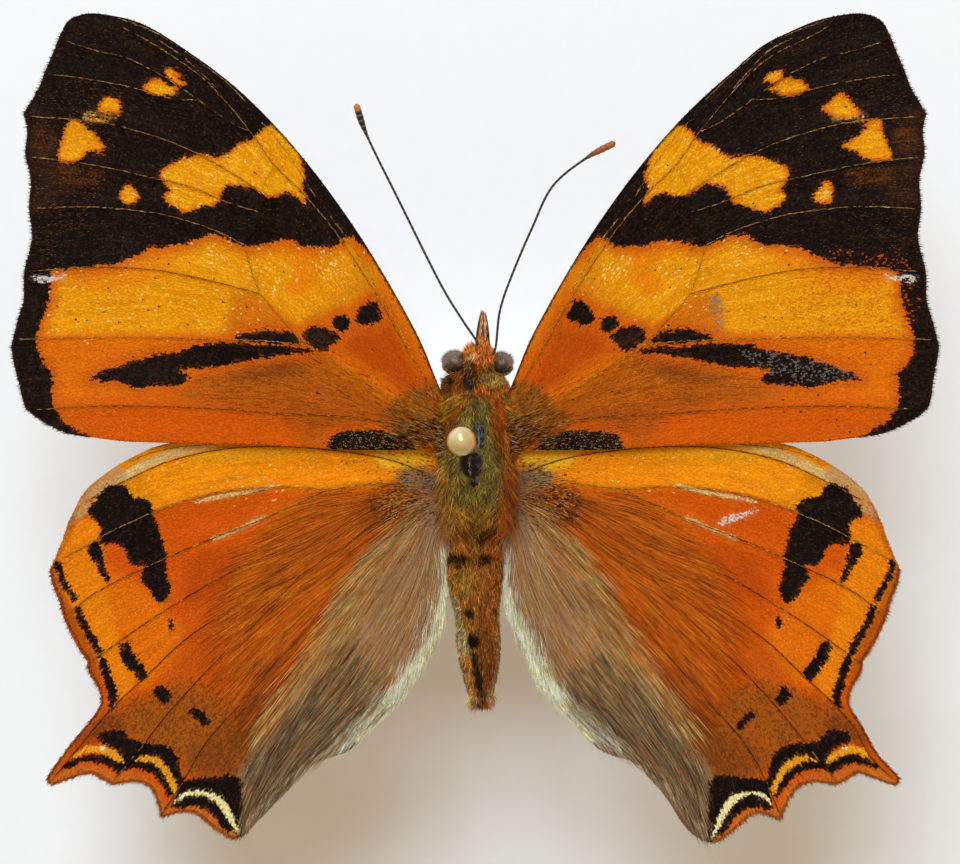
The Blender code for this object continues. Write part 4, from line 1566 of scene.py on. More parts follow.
    def add_membrane(self, finish: bpy.types.Material) -> None:
        """Builds the wing's thin skin, split alike on both faces.

        Args:
            finish: The finish of the scales.
        """
        points = self.membrane_points()
        rim = len(self.border)
        flat, _, faces, _, _, _ = delaunay_2d_cdt(
            [Vector(point) for point in points], [], [list(range(rim))], 1, 1e-6)
        flat = np.array([(point.x, point.y) for point in flat])
        spots = Spots(flat)
        upper = self.height(spots)
        count = len(flat)
        vertices = np.vstack([self.in_frame(flat, upper), self.in_frame(flat, upper - self.membrane)])
        top = np.array(faces)
        directed = {edge for a, b, c in faces for edge in ((a, b), (b, c), (c, a))}
        sides = []
        for a, b in directed:
            if (b, a) not in directed:
                sides += [(b, a, a + count), (b, a + count, b + count)]
        triangles = np.vstack([top, top[:, ::-1] + count, np.array(sorted(sides))])
        if self.side is Side.LEFT:
            triangles = triangles[:, ::-1]
        grain = np.full((count, 2), 0.5)
        tint = np.vstack([self.paint(spots, grain, face) for face in Face])
        skin = add_mesh(self.name + "_membrane", vertices, triangles, tint=tint * 0.8)
        fit(skin, finish, "wing_scales", self.name)

    def membrane_points(self) -> Array:
        """The rim's points, then those along the veins and an even lattice between them.

        Returns:
            Wing points, with the rim's first.
        """
        beside, clear_of_vein, clear_of_rim = 0.11, 0.25, 0.08
        near = []
        for vein in self.veins:
            along = unit(np.gradient(vein, axis=0))
            across = np.column_stack([-along[:, 1], along[:, 0]]) * beside
            near += [vein, vein + across, vein - across]
        low, high = self.border.min(0), self.border.max(0)
        lattice = []
        for number, v in enumerate(np.arange(low[1], high[1], self.fill_step * math.sqrt(3) / 2)):
            u = np.arange(low[0] + 0.5 * self.fill_step * (number % 2), high[0], self.fill_step)
            lattice.append(np.column_stack([u, np.full(len(u), v)]))
        lattice = Spots(np.vstack(lattice))
        clear = np.min([lattice.distance(vein, 0.5) for vein in self.veins], axis=0) > clear_of_vein
        inner = Spots(np.vstack([*near, lattice.points[clear]]))
        return np.vstack([self.border, inner.points[inner.depth(self.border, 0.3) > clear_of_rim]])

    def add_scales(self, face: Face, pitch: float, finish: bpy.types.Material) -> None:
        """Builds the coat of scales on a face, each a small closed wedge with a broad tip.

        Args:
            face: The face that they lie on.
            pitch: How far apart their roots are.
            finish: Their finish.
        """
        random = np.random.default_rng(self.seed + 100 + 50 * face.value)
        low, high = self.border.min(0), self.border.max(0)
        u, v = np.meshgrid(np.arange(low[0], high[0], pitch), np.arange(low[1], high[1], pitch))
        roots = np.column_stack([u.ravel(), v.ravel()])
        roots += random.uniform(-0.48, 0.48, roots.shape) * pitch
        roots = roots[Spots(roots).depth(self.border, 0.3) > 0.03]
        roots = roots[np.argsort(roots[:, 0])]
        rows = np.hstack([roots, unwrapped(roots)])
        for number, part in enumerate(np.array_split(rows, math.ceil(len(rows) / self.coat_limit))):
            name = f"{self.name}_{face.name.lower()}_scales_{number + 1}"
            coat = self.scale_coat(name, part[:, :2], face, pitch, random)
            add_bake_map(coat, part[:, 2:], 4)
            fit(coat, finish, "wing_scales", self.name)

    def scale_coat(self, name: str, roots: Array, face: Face, pitch: float,
                   random: np.random.Generator) -> bpy.types.Object:
        """Builds some of the scales.

        Args:
            name: The piece's name.
            roots: Where the scales grow.
            face: The face that they lie on.
            pitch: How far apart the roots are.
            random: The source of their small differences.

        Returns:
            The piece.
        """
        count = len(roots)
        ahead = turned(self.flow(roots), random.normal(0, self.scale_stray, count))
        across = np.column_stack([-ahead[:, 1], ahead[:, 0]])
        spots = Spots(roots)
        room = spots.depth(self.border, 0.3) + 0.05
        length = np.minimum(pitch * random.uniform(*self.scale_length, count), room)[:, None]
        width = (pitch * random.uniform(*self.scale_width, count))[:, None]
        sign = float(face.value)
        base = 0.0 if face is Face.UPPER else -self.membrane
        ground = self.height(spots) + base
        reached = self.height(Spots(roots + ahead * length)) + base
        lift = sign * random.uniform(*self.scale_lift, count)
        lean = random.normal(0, 0.006, count)
        right = self.in_frame(roots + ahead * length - across * width / 2, reached + lift - lean)
        left = self.in_frame(roots + ahead * length + across * width / 2, reached + lift + lean)
        heel = self.in_frame(roots, ground + sign * 0.003)
        under = self.in_frame(roots + ahead * length * 0.7, reached - sign * self.scale_keel)
        vertices = np.stack([heel, right, left, under], axis=1).reshape(-1, 3)
        faces = np.array(((0, 1, 2), (1, 0, 3), (2, 1, 3), (0, 2, 3)))
        if (self.side is Side.LEFT) != (face is Face.UNDER):
            faces = faces[:, ::-1]
        triangles = ((4 * np.arange(count))[:, None, None] + faces).reshape(-1, 3)
        seen = Spots(roots + ahead * length * 0.65)
        tint = np.repeat(self.paint(seen, random.random((count, 2)), face), 4, axis=0)
        return add_mesh(name, vertices, triangles, smooth=False, tint=tint)

    def strands(self, roots: Array, length: Array, radius: Array, lift: Array, bend: Array,
                steps: int = 4) -> Strands:
        """Hairs that follow the flow from their roots.

        Args:
            roots: Wing points where they grow.
            length: Their lengths.
            radius: Their thickness at the root.
            lift: How high the tips stand off the wing.
            bend: How far each one turns from the flow, in radians.
            steps: How many stretches a hair has.

        Returns:
            The hairs.
        """
        place = roots
        path = []
        for k in range(steps + 1):
            share = k / steps
            height = self.height(Spots(place)) + 0.01 + lift * math.sin(share * math.pi * 0.6)
            path.append(self.in_frame(place, height))
            ahead = turned(self.flow(place), bend * (1 + 0.5 * share))
            place = place + ahead * (length / steps)[:, None]
        return Strands(np.stack(path, axis=1), radius)

    def add_vein_scales(self, finish: bpy.types.Material) -> None:
        """Builds the narrow scales along veins and creases: pale or brown, and copper on the dark. Along
        the creases they are partly painted highlights of the light on the folds.

        Args:
            finish: The finish of the scales.
        """
        random = np.random.default_rng(self.seed + 200)
        lines = [(vein.pale, vein.points) for vein in self.form.veins
                 if vein.pale > 0.3 or not vein.is_cross]
        # The pale scales along the creases are partly the wing's own colour and partly painted highlights
        # of light on the folds.
        lines += [(0.9, on_wing(crease)) for crease in self.form.creases_px]
        flat, pale = [], []
        for share, points in lines:
            chain = self.shifted(smooth_curve(points, self.vein_scale_step))
            index = np.arange(len(chain) - self.vein_scale_stride)
            offset = random.normal(0, 0.016, (len(index), 1, 2))
            ends = (chain[index], chain[index + self.vein_scale_stride])
            flat.append(np.stack(ends, axis=1) + offset)
            pale.append(np.full(len(index), share))
        flat, pale = np.concatenate(flat), np.concatenate(pale)
        draw = random.random(len(flat))
        middle = Spots(flat.mean(1))
        ground = self.paint(middle, np.full((len(flat), 2), 0.5), Face.UPPER)
        is_dark = ground.sum(1) < DARK_LIGHT
        gaps = smooth_noise(middle.points, 0.3, self.seed + 11)
        is_thick = draw + gaps * 0.3 < 0.16 + 0.42 * pale
        kept = (middle.depth(self.border, 0.3) > 0.08) & (~is_dark | is_thick)
        flat, pale, draw, is_dark = flat[kept], pale[kept], draw[kept], is_dark[kept]
        heights = self.height(Spots(flat.reshape(-1, 2))) + 0.02
        paths = self.in_frame(flat.reshape(-1, 2), heights).reshape(-1, 2, 3)
        is_hind = self.form.pair is Pair.HIND
        plain = ground[kept] * (0.3 if is_hind else 0.6)
        tones = np.array([tone.light for tone in (Tone.COPPER, Tone.HONEY, Tone.CREAM)])
        on_dark = tones[random.choice(3, len(flat), p=(0.45, 0.4, 0.15))]
        bright = np.where(is_dark[:, None], on_dark, np.array(Tone.PALE_GOLD.light))
        tint = np.where((is_dark | (draw < pale * 0.8))[:, None], bright, plain)
        tint = tint * random.uniform(0.5, 1.3, (len(flat), 1))
        thin = np.where(is_dark | is_hind, 0.013, 0.010)
        hairs = Strands(paths, thin * random.uniform(1.0, 1.8, len(flat)), 0.5)
        piece = hairs.add(self.name + "_vein_scales", tint, unwrapped(flat[:, 0]))
        fit(piece, finish, "wing_scales", self.name)

    def add_fringe(self, finish: bpy.types.Material) -> None:
        """Builds the short bristles that stand out from the rim.

        Args:
            finish: The finish of the hair.
        """
        random = np.random.default_rng(self.seed + 300)
        runs = [self.shifted(smooth_curve(run, self.fringe_step)) for run in self.form.runs[1:-1]]
        roots = np.vstack(runs)
        roots = roots + random.normal(0, 0.03, roots.shape)
        count = len(roots)
        inward = self.flow(roots) * -0.12
        length = random.uniform(*self.fringe_length, count)
        radius = random.uniform(*self.fringe_radius, count)
        bend = random.normal(0, 0.25, count)
        hairs = self.strands(roots + inward, length, radius, np.zeros(count), bend, steps=1)
        tint = self.paint(Spots(roots + inward * 1.2), random.random((count, 2)), Face.UPPER)
        tint = tint * 0.45 + np.array(Tone.BROWN.light) * 0.15
        piece = hairs.add(self.name + "_fringe", tint, unwrapped(roots))
        fit(piece, finish, "wing_scales", self.name)

    def add_hair(self, finish: bpy.types.Material) -> None:
        """Builds the hair over the wing, and the single raised scales on its dark parts.

        Args:
            finish: The finish of the hair.
        """
        random = np.random.default_rng(self.seed + 400)
        for number, patch in enumerate(HAIR_PATCHES[self.form.pair]):
            outline = self.outline(patch.outline_px, 0.4)
            low, high = outline.min(0) - 0.4, outline.max(0) + 0.4
            tries = random.uniform(low, high, (patch.count * 8, 2))
            spots = Spots(tries)
            soft = random.normal(0, 0.05 if patch.on_dark else 0.25, len(tries))
            inside = (spots.depth(outline, 1.0) + soft > 0) & is_inside(tries, self.border)
            roots = tries[inside][:patch.count]
            ground = self.paint(Spots(roots), np.full((len(roots), 2), 0.5), Face.UPPER)
            if patch.on_dark:
                kept = ground.sum(1) < DARK_LIGHT
                roots, ground = roots[kept], ground[kept]
            count = len(roots)
            length = patch.length * random.uniform(0.6, 1.2, count)
            radius = patch.radius * random.uniform(0.7, 1.2, count)
            lift = patch.lift * random.uniform(0.3, 1.5, count)
            waves = 0.05 * smooth_noise(roots, 1.0, self.seed + 9)
            bend = patch.turn + random.normal(0, 0.03, count) + waves
            hairs = self.strands(roots, length, radius, lift, bend, patch.steps)
            if patch.tones:
                tint = drawn(patch.tones, random, count) * random.uniform(0.7, 1.3, (count, 1))
            else:
                tint = ground * random.choice((0.35, 0.8, 1.3, 1.6, 2.0), (count, 1))
            tint = tint * (1.4 if self.form.pair is Pair.HIND else 1.0)
            locks = self.streaks(roots, self.flow(roots), 0.10, 1.0)
            tint = np.minimum(tint * (1 + (0.2 if patch.on_dark else 0.5) * locks[:, None]), 0.95)
            piece = hairs.add(f"{self.name}_hair_{number + 1}", tint, unwrapped(roots))
            fit(piece, finish, "wing_scales", self.name)


# Body.


@dataclass(frozen=True)
class HairBand:
    """Hair on a length of the body: where it is rooted along Y, its size and how it lies.

    It parts to the sides where gather is below 0, and comes together on the middle above 0.
    """

    front: float
    back: float
    count: int
    length: float
    radius: float
    lift: float
    spread: float
    gather: float

    @property
    def steps(self) -> int:
        """How many stretches each hair has."""
        return 3 if self.length > 0.7 else 2


@dataclass(frozen=True)
class Tuft:
    """A tuft on the body: where it is rooted, in photo pixels, and how its hairs stand."""

    outline_px: Array
    count: int
    length: float
    radius: float
    lean: Array
    tones: tuple[Tone, ...]

    @classmethod
    def read(cls, text: str) -> list[Tuft]:
        """Tufts from rows of the values above, in that order, and outline.

        Args:
            text: The table.

        Returns:
            The tufts.
        """
        found = []
        for (count, length, radius, *rest), points in table_rows(text):
            lean = np.array(rest[:3], float)
            tones = tuple(Tone[word] for word in rest[3:])
            found.append(cls(points, int(count), float(length), float(radius), lean, tones))
        return found


# The body's colours, bare places and tufts, in photo pixels; two tufts are painted highlights.

BODY_PATCHES = Zone.read("""
    GINGER 0.15 1: 430,395 462,388 468,400 450,430 440,480 425,480;
    RUST 0.08 1: 458,391 468,393 463,406 452,424 444,424 450,404;
    OLIVE_GOLD 0.1 1: 438,402 450,394 449,404 443,424 438,440 432,424;
    OLIVE_GOLD 0.08 0.9: 463,394 470,390 466,402 456,416 456,406;
    RUST 0.1 1: 486,394 500,394 506,420 506,440 500,440 490,415;
    OLIVE_GOLD 0.1 1: 502,394 514,402 518,425 510,425 504,408;
    MOSS 0.15 1: 468,402 486,402 492,430 494,470 480,480 458,470 456,428;
    OLIVE 0.15 0.9: 459,427 474,427 474,404 465,408;
    MOSS 0.35 1: 446,462 500,462 503,500 492,518 462,518 446,498;
    OLIVE 0.2 1: 434,440 450,445 446,490 440,515 432,480;
    GINGER 0.15 0.9: 506,430 520,435 522,520 512,545 504,510;
    RUST 0.15 0.9: 506,470 518,480 516,530 500,560 486,562 504,530;
    OLIVE_GOLD 0.3 0.8: 452,512 500,512 492,530 475,545 460,530;
    GINGER 0.2 0.9: 430,512 446,516 458,540 474,560 452,558 434,545;
    BROWN 0.2 0.6: 466,512 486,512 484,540 470,540;
    BROWN 0.04 0.9: 473,398 477,398 477,427 474,427;
    BLACK 0.08 0.9: 477,537 486,530 498,523 495,532 486,540 478,543;
    BLACK 0.08 0.7: 460,528 470,530 470,537 464,536;
    BLACK 0.08 0.9: 443,556 455,552 466,554 467,565 446,567;
    BLACK 0.08 0.9: 476,560 484,554 492,555 490,562 478,566;
    GINGER 0.15 0.9: 440,568 505,566 508,612 488,640 470,630 446,596;
    OLIVE_GOLD 0.2 0.6: 450,575 475,572 470,600 452,600;
    GINGER 0.25 0.9: 470,604 504,600 506,690 492,708 474,700 468,650;
    OLIVE_BROWN 0.15 0.8: 478,620 486,620 500,690 488,704 476,690;
    OLIVE_GOLD 0.1 1: 440,590 451,596 464,620 468,640 450,640;
    STRAW 0.12 0.9: 446,634 467,634 470,660 452,662;
    HONEY 0.1 1: 452,658 469,656 474,700 462,700;
    BLACK 0.05 0.95: 466,611 471,609 475,615 473,620 467,618;
    BLACK 0.05 0.7: 491,611 495,610 497,615 493,617;
    BLACK 0.05 1: 468,637 474,635 479,642 477,650 472,651 468,645;
    BLACK 0.08 0.9: 471,652 476,654 480,668 483,690 478,694 473,676;
    BLACK 0.08 0.8: 477,697 487,695 486,704 480,705
""")
HEAD_PATCHES = Zone.read("""
    APRICOT 0.1 1: 463,340 500,338 502,362 462,362;
    CREAM 0.04 0.9: 468,353 474,352 476,358 470,360;
    SOOT 0.1 0.8: 464,364 474,362 478,376 464,378;
    GINGER 0.1 0.9: 478,366 506,364 508,376 480,378;
    BLACK 0.1 0.6: 484,372 506,374 506,379 484,378;
    OLIVE_GOLD 0.1 0.8: 480,378 506,376 510,386 484,388;
    RUST 0.1 0.9: 478,387 506,386 508,393 480,394;
    BLACK 0.06 0.9: 463,378 472,378 474,390 465,390
""")
BALD_PX = chains("""
    474,424 483,422 485,436 484,449 476,447 474,436;
    461,455 470,452 480,454 483,466 478,477 466,477 461,468;
    469,480 475,478 479,484 474,490 469,487;
    465,379 471,379 472,388 466,389
""")
HAIR_BANDS = (
    HairBand(5.30, 4.10, 1100, 0.45, 0.020, 0.12, 0.35, -0.2),
    HairBand(4.10, 2.70, 1500, 0.45, 0.018, 0.12, 0.40, -0.2),
    HairBand(3.10, -1.50, 5600, 0.48, 0.017, 0.11, 0.45, -0.7),
    HairBand(-1.50, -3.60, 3000, 0.60, 0.017, 0.11, 0.40, 0.2),
    HairBand(-3.30, -5.40, 3400, 1.00, 0.018, 0.14, 0.30, 1.1),
    HairBand(-5.50, -9.50, 3900, 0.42, 0.017, 0.08, 0.40, 0.1),
    HairBand(-9.50, -14.50, 3900, 0.32, 0.017, 0.07, 0.40, 0.1),
)
HEAD_TUFTS = Tuft.read("""
    260 0.4 0.024 -0.4 0.75 0.5 APRICOT HONEY RUST: 463,346 474,342 477,354 465,357;
    380 0.42 0.024 0.05 0.85 0.5 APRICOT RUST APRICOT HONEY: 476,342 490,340 492,357 478,359;
    220 0.3 0.024 0.4 0.5 0.7 APRICOT RUST GINGER: 490,352 503,353 503,364 492,364;
    130 0.16 0.022 -0.1 0.2 0.95 PALE_GOLD CREAM GLINT: 468,352 475,351 477,360 470,361;
    460 0.2 0.018 -0.2 0 0.95 RUST CREAM APRICOT BLACK OLIVE_GOLD: 440,376 452,370 470,362 472,369
        454,380 442,386;
    300 0.2 0.018 0.2 0 0.95 APRICOT GINGER SOOT STRAW OLIVE_GOLD: 494,362 508,366 512,384 498,378;
    140 0.16 0.016 0 0.1 0.9 BLACK SOOT BLACK TAN: 465,364 473,362 474,376 466,377;
    420 0.42 0.014 0.1 0.75 0.6 OLIVE_GOLD OLIVE GINGER STRAW: 479,378 505,376 508,388 482,392
""")
# The two tufts of thin off-white and grey strands on the glossy black bare places are painted highlights:
# they stand in for narrow glints of light on the black.
BODY_TUFTS = Tuft.read("""
    520 1.4 0.015 -0.32 -0.92 0.14 HONEY OLIVE_GOLD OLIVE_GOLD AMBER STRAW: 436,458 450,466 458,524
        440,526;
    520 1.4 0.015 0.28 -0.92 0.14 RUST GINGER AMBER RUST: 500,462 514,455 514,522 496,524;
    120 0.26 0.022 0.1 -0.5 0.85 BLACK BLACK SOOT: 455,526 466,527 465,537 456,537;
    190 0.26 0.022 0 -0.5 0.85 BLACK BLACK SOOT: 477,540 484,531 497,524 497,532 487,540 478,545;
    220 0.26 0.022 0 -0.5 0.85 BLACK BLACK BROWN: 444,556 455,552 466,554 466,566 446,568;
    130 0.24 0.022 0 -0.5 0.85 BLACK BLACK SOOT: 476,561 484,555 492,556 490,563 478,566;
    620 0.95 0.017 -0.72 -0.62 0.3 PALE_GOLD HONEY OLIVE_GOLD PALE_GOLD SOOT: 448,398 462,390 466,398
        450,416;
    420 0.6 0.018 -0.5 -0.8 0.3 RUST DEEP_ORANGE RUST AMBER: 456,400 468,392 467,402 454,418;
    520 0.6 0.018 0.4 -0.85 0.3 RUST DEEP_ORANGE RUST AMBER: 488,394 500,392 506,418 494,428;
    420 0.75 0.017 0.82 -0.5 0.3 PALE_GOLD HONEY OLIVE_GOLD BROWN: 498,392 508,398 510,418 502,408;
    300 0.45 0.017 -0.75 0.35 0.3 BLACK SOOT BROWN RUST: 446,374 456,374 452,392 444,398;
    320 0.65 0.015 -0.9 -0.2 0.2 BLACK SOOT GINGER CREAM: 438,424 446,420 446,455 438,455;
    320 0.65 0.015 0.9 -0.2 0.2 BLACK SOOT GINGER CREAM: 508,420 514,424 516,455 508,450;
    70 0.2 0.011 0 -1 0.15 BARE GREY: 478,424 480,424 480,450 478,449;
    60 0.22 0.011 0 -1 0.15 BARE GREY: 468,456 470,456 471,474 469,474;
    110 0.3 0.01 0 -0.9 0.4 STRAW OLIVE: 450,496 474,483 498,496 496,499 474,487 452,499;
    420 1.1 0.012 0.05 -1 0 PALE_GREEN STRAW TAN GINGER: 510,532 518,530 514,600 508,620
""")
TAIL_TUFTS = Tuft.read("""
    380 0.4 0.014 -0.5 -0.8 0.2 STRAW CREAM STRAW OLIVE: 448,592 460,598 466,632 452,634;
    240 0.26 0.013 -0.4 -0.8 0.3 CREAM CREAM STRAW: 452,634 464,634 467,658 455,658;
    320 0.3 0.013 0.6 -0.8 0 TAN GINGER BROWN: 496,600 504,600 502,690 494,690;
    260 0.68 0.016 -0.42 -0.88 0 PALE_GOLD CREAM STRAW HONEY: 466,694 478,696 478,706 472,706;
    240 0.62 0.016 0.5 -0.8 0 STRAW TAN HONEY: 486,692 496,692 492,706 485,706;
    300 0.46 0.018 0.05 -1 0.1 RUST GINGER TAN BROWN SOOT: 474,696 490,696 488,707 476,707
""")


@dataclass
class Body:
    """Head, thorax and abdomen as one skin, with the hair that covers it.

    A ring has its place along Y, its middle's X and Z, its half width and its half height.
    """

    rings: Points = (
        (5.32, 0.25, 26.80, 0.20, 0.24), (5.20, 0.24, 26.82, 0.44, 0.50), (4.95, 0.22, 26.85, 0.68, 0.78),
        (4.60, 0.19, 26.90, 0.86, 0.94), (4.10, 0.14, 26.93, 0.95, 0.97), (3.70, 0.05, 26.95, 1.15, 0.85),
        (3.40, 0.00, 26.96, 1.55, 0.90), (3.05, 0.00, 27.00, 1.72, 1.10), (2.75, 0.04, 27.00, 1.74, 1.34),
        (2.23, 0.10, 27.00, 1.76, 1.68), (1.14, 0.10, 27.00, 1.90, 1.98), (0.00, 0.12, 27.00, 2.02, 2.08),
        (-1.57, 0.14, 26.98, 2.02, 2.08), (-3.20, 0.14, 26.95, 1.95, 1.97),
        (-4.29, 0.12, 26.92, 1.75, 1.73), (-5.00, 0.08, 26.90, 1.50, 1.50),
        (-5.50, 0.03, 26.89, 1.24, 1.24), (-5.90, 0.00, 26.87, 1.36, 1.33),
        (-6.40, 0.00, 26.84, 1.48, 1.42), (-7.50, 0.00, 26.80, 1.48, 1.43),
        (-8.60, 0.03, 26.75, 1.27, 1.34), (-9.60, 0.12, 26.70, 1.12, 1.30),
        (-11.30, 0.20, 26.62, 1.12, 1.28), (-12.40, 0.24, 26.58, 0.97, 1.11),
        (-13.30, 0.28, 26.55, 0.76, 0.87), (-14.05, 0.33, 26.52, 0.54, 0.62),
        (-14.55, 0.37, 26.50, 0.24, 0.28),
    )
    grooves: tuple[float, ...] = (-6.9, -8.1, -9.3, -10.45, -11.55, -12.6, -13.5)
    length: float = 20.0
    groove_depth: float = 0.05
    groove_width: float = 0.09
    dent_depth: float = 0.10
    dent_span: tuple[float, float] = (-2.2, 3.0)
    sides: int = 72
    step: float = 0.09
    table: Array = field(init=False)

    def __post_init__(self) -> None:
        """Works out the smooth run of rings."""
        self.table = smooth_curve(self.rings, 0.06)[::-1]

    def section(self, v: Array) -> list[Array]:
        """Middle X and Z, half width and half height of the body at places along Y."""
        return [np.interp(v, self.table[:, 0], self.table[:, k]) for k in range(1, 5)]

    def surface(self, v: Array, angle: Array, lift: Array | float) -> Array:
        """Places on the skin or above it.

        Args:
            v: Their places along Y.
            angle: Their angles round the body, from +X upwards.
            lift: How far above the skin they are.

        Returns:
            Points in the row frame, in millimetres.
        """
        middle_x, middle_z, wide, high = self.section(v)
        pinch = sum(self.groove_depth * np.exp(-(((v - groove) / self.groove_width) ** 2))
                    for groove in self.grooves)
        back, front = self.dent_span
        dent = self.dent_depth * np.exp(-(((angle - math.pi / 2) / 0.10) ** 2)) * ((v > back) & (v < front))
        x = middle_x + (wide * (1 - pinch) + lift) * np.cos(angle)
        z = middle_z + (high * (1 - pinch) - dent + lift) * np.sin(angle)
        return np.column_stack([x, v, z])

    def paint(self, places: Array, random: np.random.Generator) -> tuple[Array, Array]:
        """Colours of the body.

        Args:
            places: Points in the row frame.
            random: The source of small differences.

        Returns:
            A colour for each point, and how bare and shiny the skin is there.
        """
        spots = Spots(places[:, :2])
        paint = Paint(len(places), Tone.OLIVE_BROWN)
        paint.lay(ramp(-places[:, 1], 5.3, 5.9), Tone.GINGER)
        for patch in BODY_PATCHES + HEAD_PATCHES:
            outline = smooth_curve(in_plane(patch.outline_px), 0.2, closed=True)
            depth = spots.depth(outline, patch.soft + 0.3) + random.normal(0, 0.05, len(places))
            paint.lay(ramp(depth, -patch.soft, patch.soft) * patch.strength, patch.tone)
        bald = np.zeros(len(places))
        for outline_px in BALD_PX:
            outline = smooth_curve(in_plane(outline_px), 0.1, closed=True)
            bald = np.maximum(bald, ramp(spots.depth(outline, 0.4), -0.04, 0.06))
        upper = ramp(places[:, 2], 26.9, 27.3)
        bald = bald * upper
        belly = Paint(len(places), Tone.TAN)
        belly.lay(smooth_noise(places[:, :2], 0.5, 3) * 0.3 + 0.3, Tone.OLIVE_BROWN)
        paint.colour = belly.colour + (paint.colour - belly.colour) * upper[:, None]
        return paint.colour, bald

    def add_skin(self, finish: bpy.types.Material) -> None:
        """Builds the skin as one closed surface.

        Args:
            finish: The finish of the skin.
        """
        random = np.random.default_rng(11)
        front, back = self.rings[0][0], self.rings[-1][0]
        along = np.arange(front, back, -self.step)
        turn = np.arange(self.sides) * 2 * math.pi / self.sides
        v, angle = (grid.ravel() for grid in np.meshgrid(along, turn, indexing="ij"))
        rough = 0.02 * smooth_noise(np.column_stack([v, angle * 1.5]), 0.2, 12)
        points = self.surface(v, angle, rough)
        ends = np.vstack([self.surface(along[k:k + 1 or None], turn[:1], 0) for k in (0, -1)])
        ends[:, 0] = (self.table[-1, 1], self.table[0, 1])
        points, faces = ring_mesh(points.reshape(len(along), self.sides, 3), ends)
        tint, bald = self.paint(points, random)
        tint = tint * 0.45 * (1 - bald[:, None]) + np.array(Tone.BLACK.light) * bald[:, None]
        skin = add_mesh("body_skin", points, faces, tint=tint, numbers={"bald": bald})
        fit(skin, finish, "body_hair", "head", "thorax", "abdomen")

    def add_hair(self, finish: bpy.types.Material) -> None:
        """Builds the hair, band by band from the head to the tail.

        Args:
            finish: The finish of the hair.
        """
        slots = ("head_hair", "head_hair", *("body_hair",) * 3, "abdomen_hair", "abdomen_hair")
        for number, (band, slot) in enumerate(zip(HAIR_BANDS, slots)):
            random = np.random.default_rng(20 + number)
            v = random.uniform(band.back, band.front, band.count)
            side = random.uniform(-1, 1, band.count)
            angle = math.pi * (0.5 + np.sign(side) * np.abs(side) ** 1.15)
            length = band.length * random.uniform(0.6, 1.25, band.count)
            tint, bald = self.paint(self.surface(v - length * 0.5, angle, 0), random)
            _, bald_root = self.paint(self.surface(v, angle, 0), random)
            kept = np.maximum(bald, bald_root) < 0.3
            v, angle, length, tint = v[kept], angle[kept], length[kept], tint[kept]
            count = len(v)
            stray = (random.random(count) < 0.14) & (tint.sum(1) > DARK_LIGHT)
            tint = np.where(stray[:, None], np.array(Tone.GINGER.light), tint)
            unrolled = np.column_stack([angle * 1.9, v])
            sideways = random.normal(0, band.spread, count) + band.gather * np.cos(angle)
            sideways = sideways + 0.5 * smooth_noise(unrolled, 0.35, 30 + number)
            lift = band.lift * random.uniform(0.5, 1.8, count)
            end = self.rings[-1][0] - random.uniform(0.05, 0.3, count)
            path = []
            for k in range(band.steps + 1):
                share = k / band.steps
                place_v = np.maximum(v - length * share, end)
                place_angle = angle + sideways * length * share / 1.8
                path.append(self.surface(place_v, place_angle, 0.01 + lift * math.sin(share * 2.2)))
            strands = Strands(np.stack(path, axis=1), band.radius * random.uniform(0.7, 1.3, count))
            locks = smooth_noise(unrolled * (1.0, 0.5), 0.13, 50 + number)
            tint = tint * (1 + 0.6 * locks[:, None]) * random.choice((0.3, 0.9, 1.2, 1.5, 2.0), (count, 1))
            piece = strands.add(f"body_hair_{number + 1}", tint, self.spread(v, angle))
            fit(piece, finish, slot)

    def spread(self, v: Array, angle: Array) -> Array:
        """Places on the unrolled skin, between 0 and 1 each way."""
        return np.column_stack([angle / (2 * math.pi) + 0.25, (v - self.rings[-1][0]) / self.length])

    def add_tufts(self, name: str, tufts: Sequence[Tuft], finish: bpy.types.Material, slot: str) -> None:
        """Builds tufts that stand out from the upper side of the body.

        Args:
            name: The piece's name.
            tufts: The tufts.
            finish: The finish of the hair.
            slot: Their material slot.
        """
        random = np.random.default_rng(len(name))
        paths, radii, tints, places = [], [], [], []
        for number, tuft in enumerate(tufts):
            outline = in_plane(tuft.outline_px)
            tries = random.uniform(outline.min(0), outline.max(0), (tuft.count * 5, 2))
            middle_x, _, wide, _ = self.section(tries[:, 1])
            above = np.abs(tries[:, 0] - middle_x) < wide
            roots = tries[is_inside(tries, outline) & above][:tuft.count]
            count = len(roots)
            middle_x, middle_z, wide, high = self.section(roots[:, 1])
            angle = np.arccos(np.clip((roots[:, 0] - middle_x) / wide, -0.98, 0.98))
            base = np.column_stack([roots, middle_z + high * np.sin(angle) - 0.03])
            lean = unit(tuft.lean + random.normal(0, 0.2, (count, 3)))
            reach = lean * tuft.length * random.uniform(0.6, 1.15, (count, 1))
            rise = np.array((0.0, 0.0, 0.05))
            paths.append(np.stack([base, base + reach * 0.5 + rise, base + reach], axis=1))
            radii.append(tuft.radius * random.uniform(0.7, 1.2, count))
            tint = drawn(tuft.tones, random, count)
            locks = 1 + 0.5 * smooth_noise(roots * (1.0, 0.4), 0.13, 90 + number)[:, None]
            tints.append(tint * locks * random.choice((0.4, 0.8, 1.1, 1.5), (count, 1)))
            places.append(self.spread(roots[:, 1], angle))
        strands = Strands(np.concatenate(paths), np.concatenate(radii), 0.6)
        fit(strands.add(name, np.concatenate(tints), np.concatenate(places)), finish, slot)

    def build(self, skin: bpy.types.Material, hair: bpy.types.Material) -> None:
        """Builds skin and hair.

        Args:
            skin: The finish of the skin.
            hair: The finish of hair and scales.
        """
        self.add_skin(skin)
        self.add_hair(hair)
        self.add_tufts("head_tufts", HEAD_TUFTS, hair, "head_hair")
        self.add_tufts("body_tufts", BODY_TUFTS, hair, "body_hair")
        self.add_tufts("tail_tufts", TAIL_TUFTS, hair, "abdomen_hair")


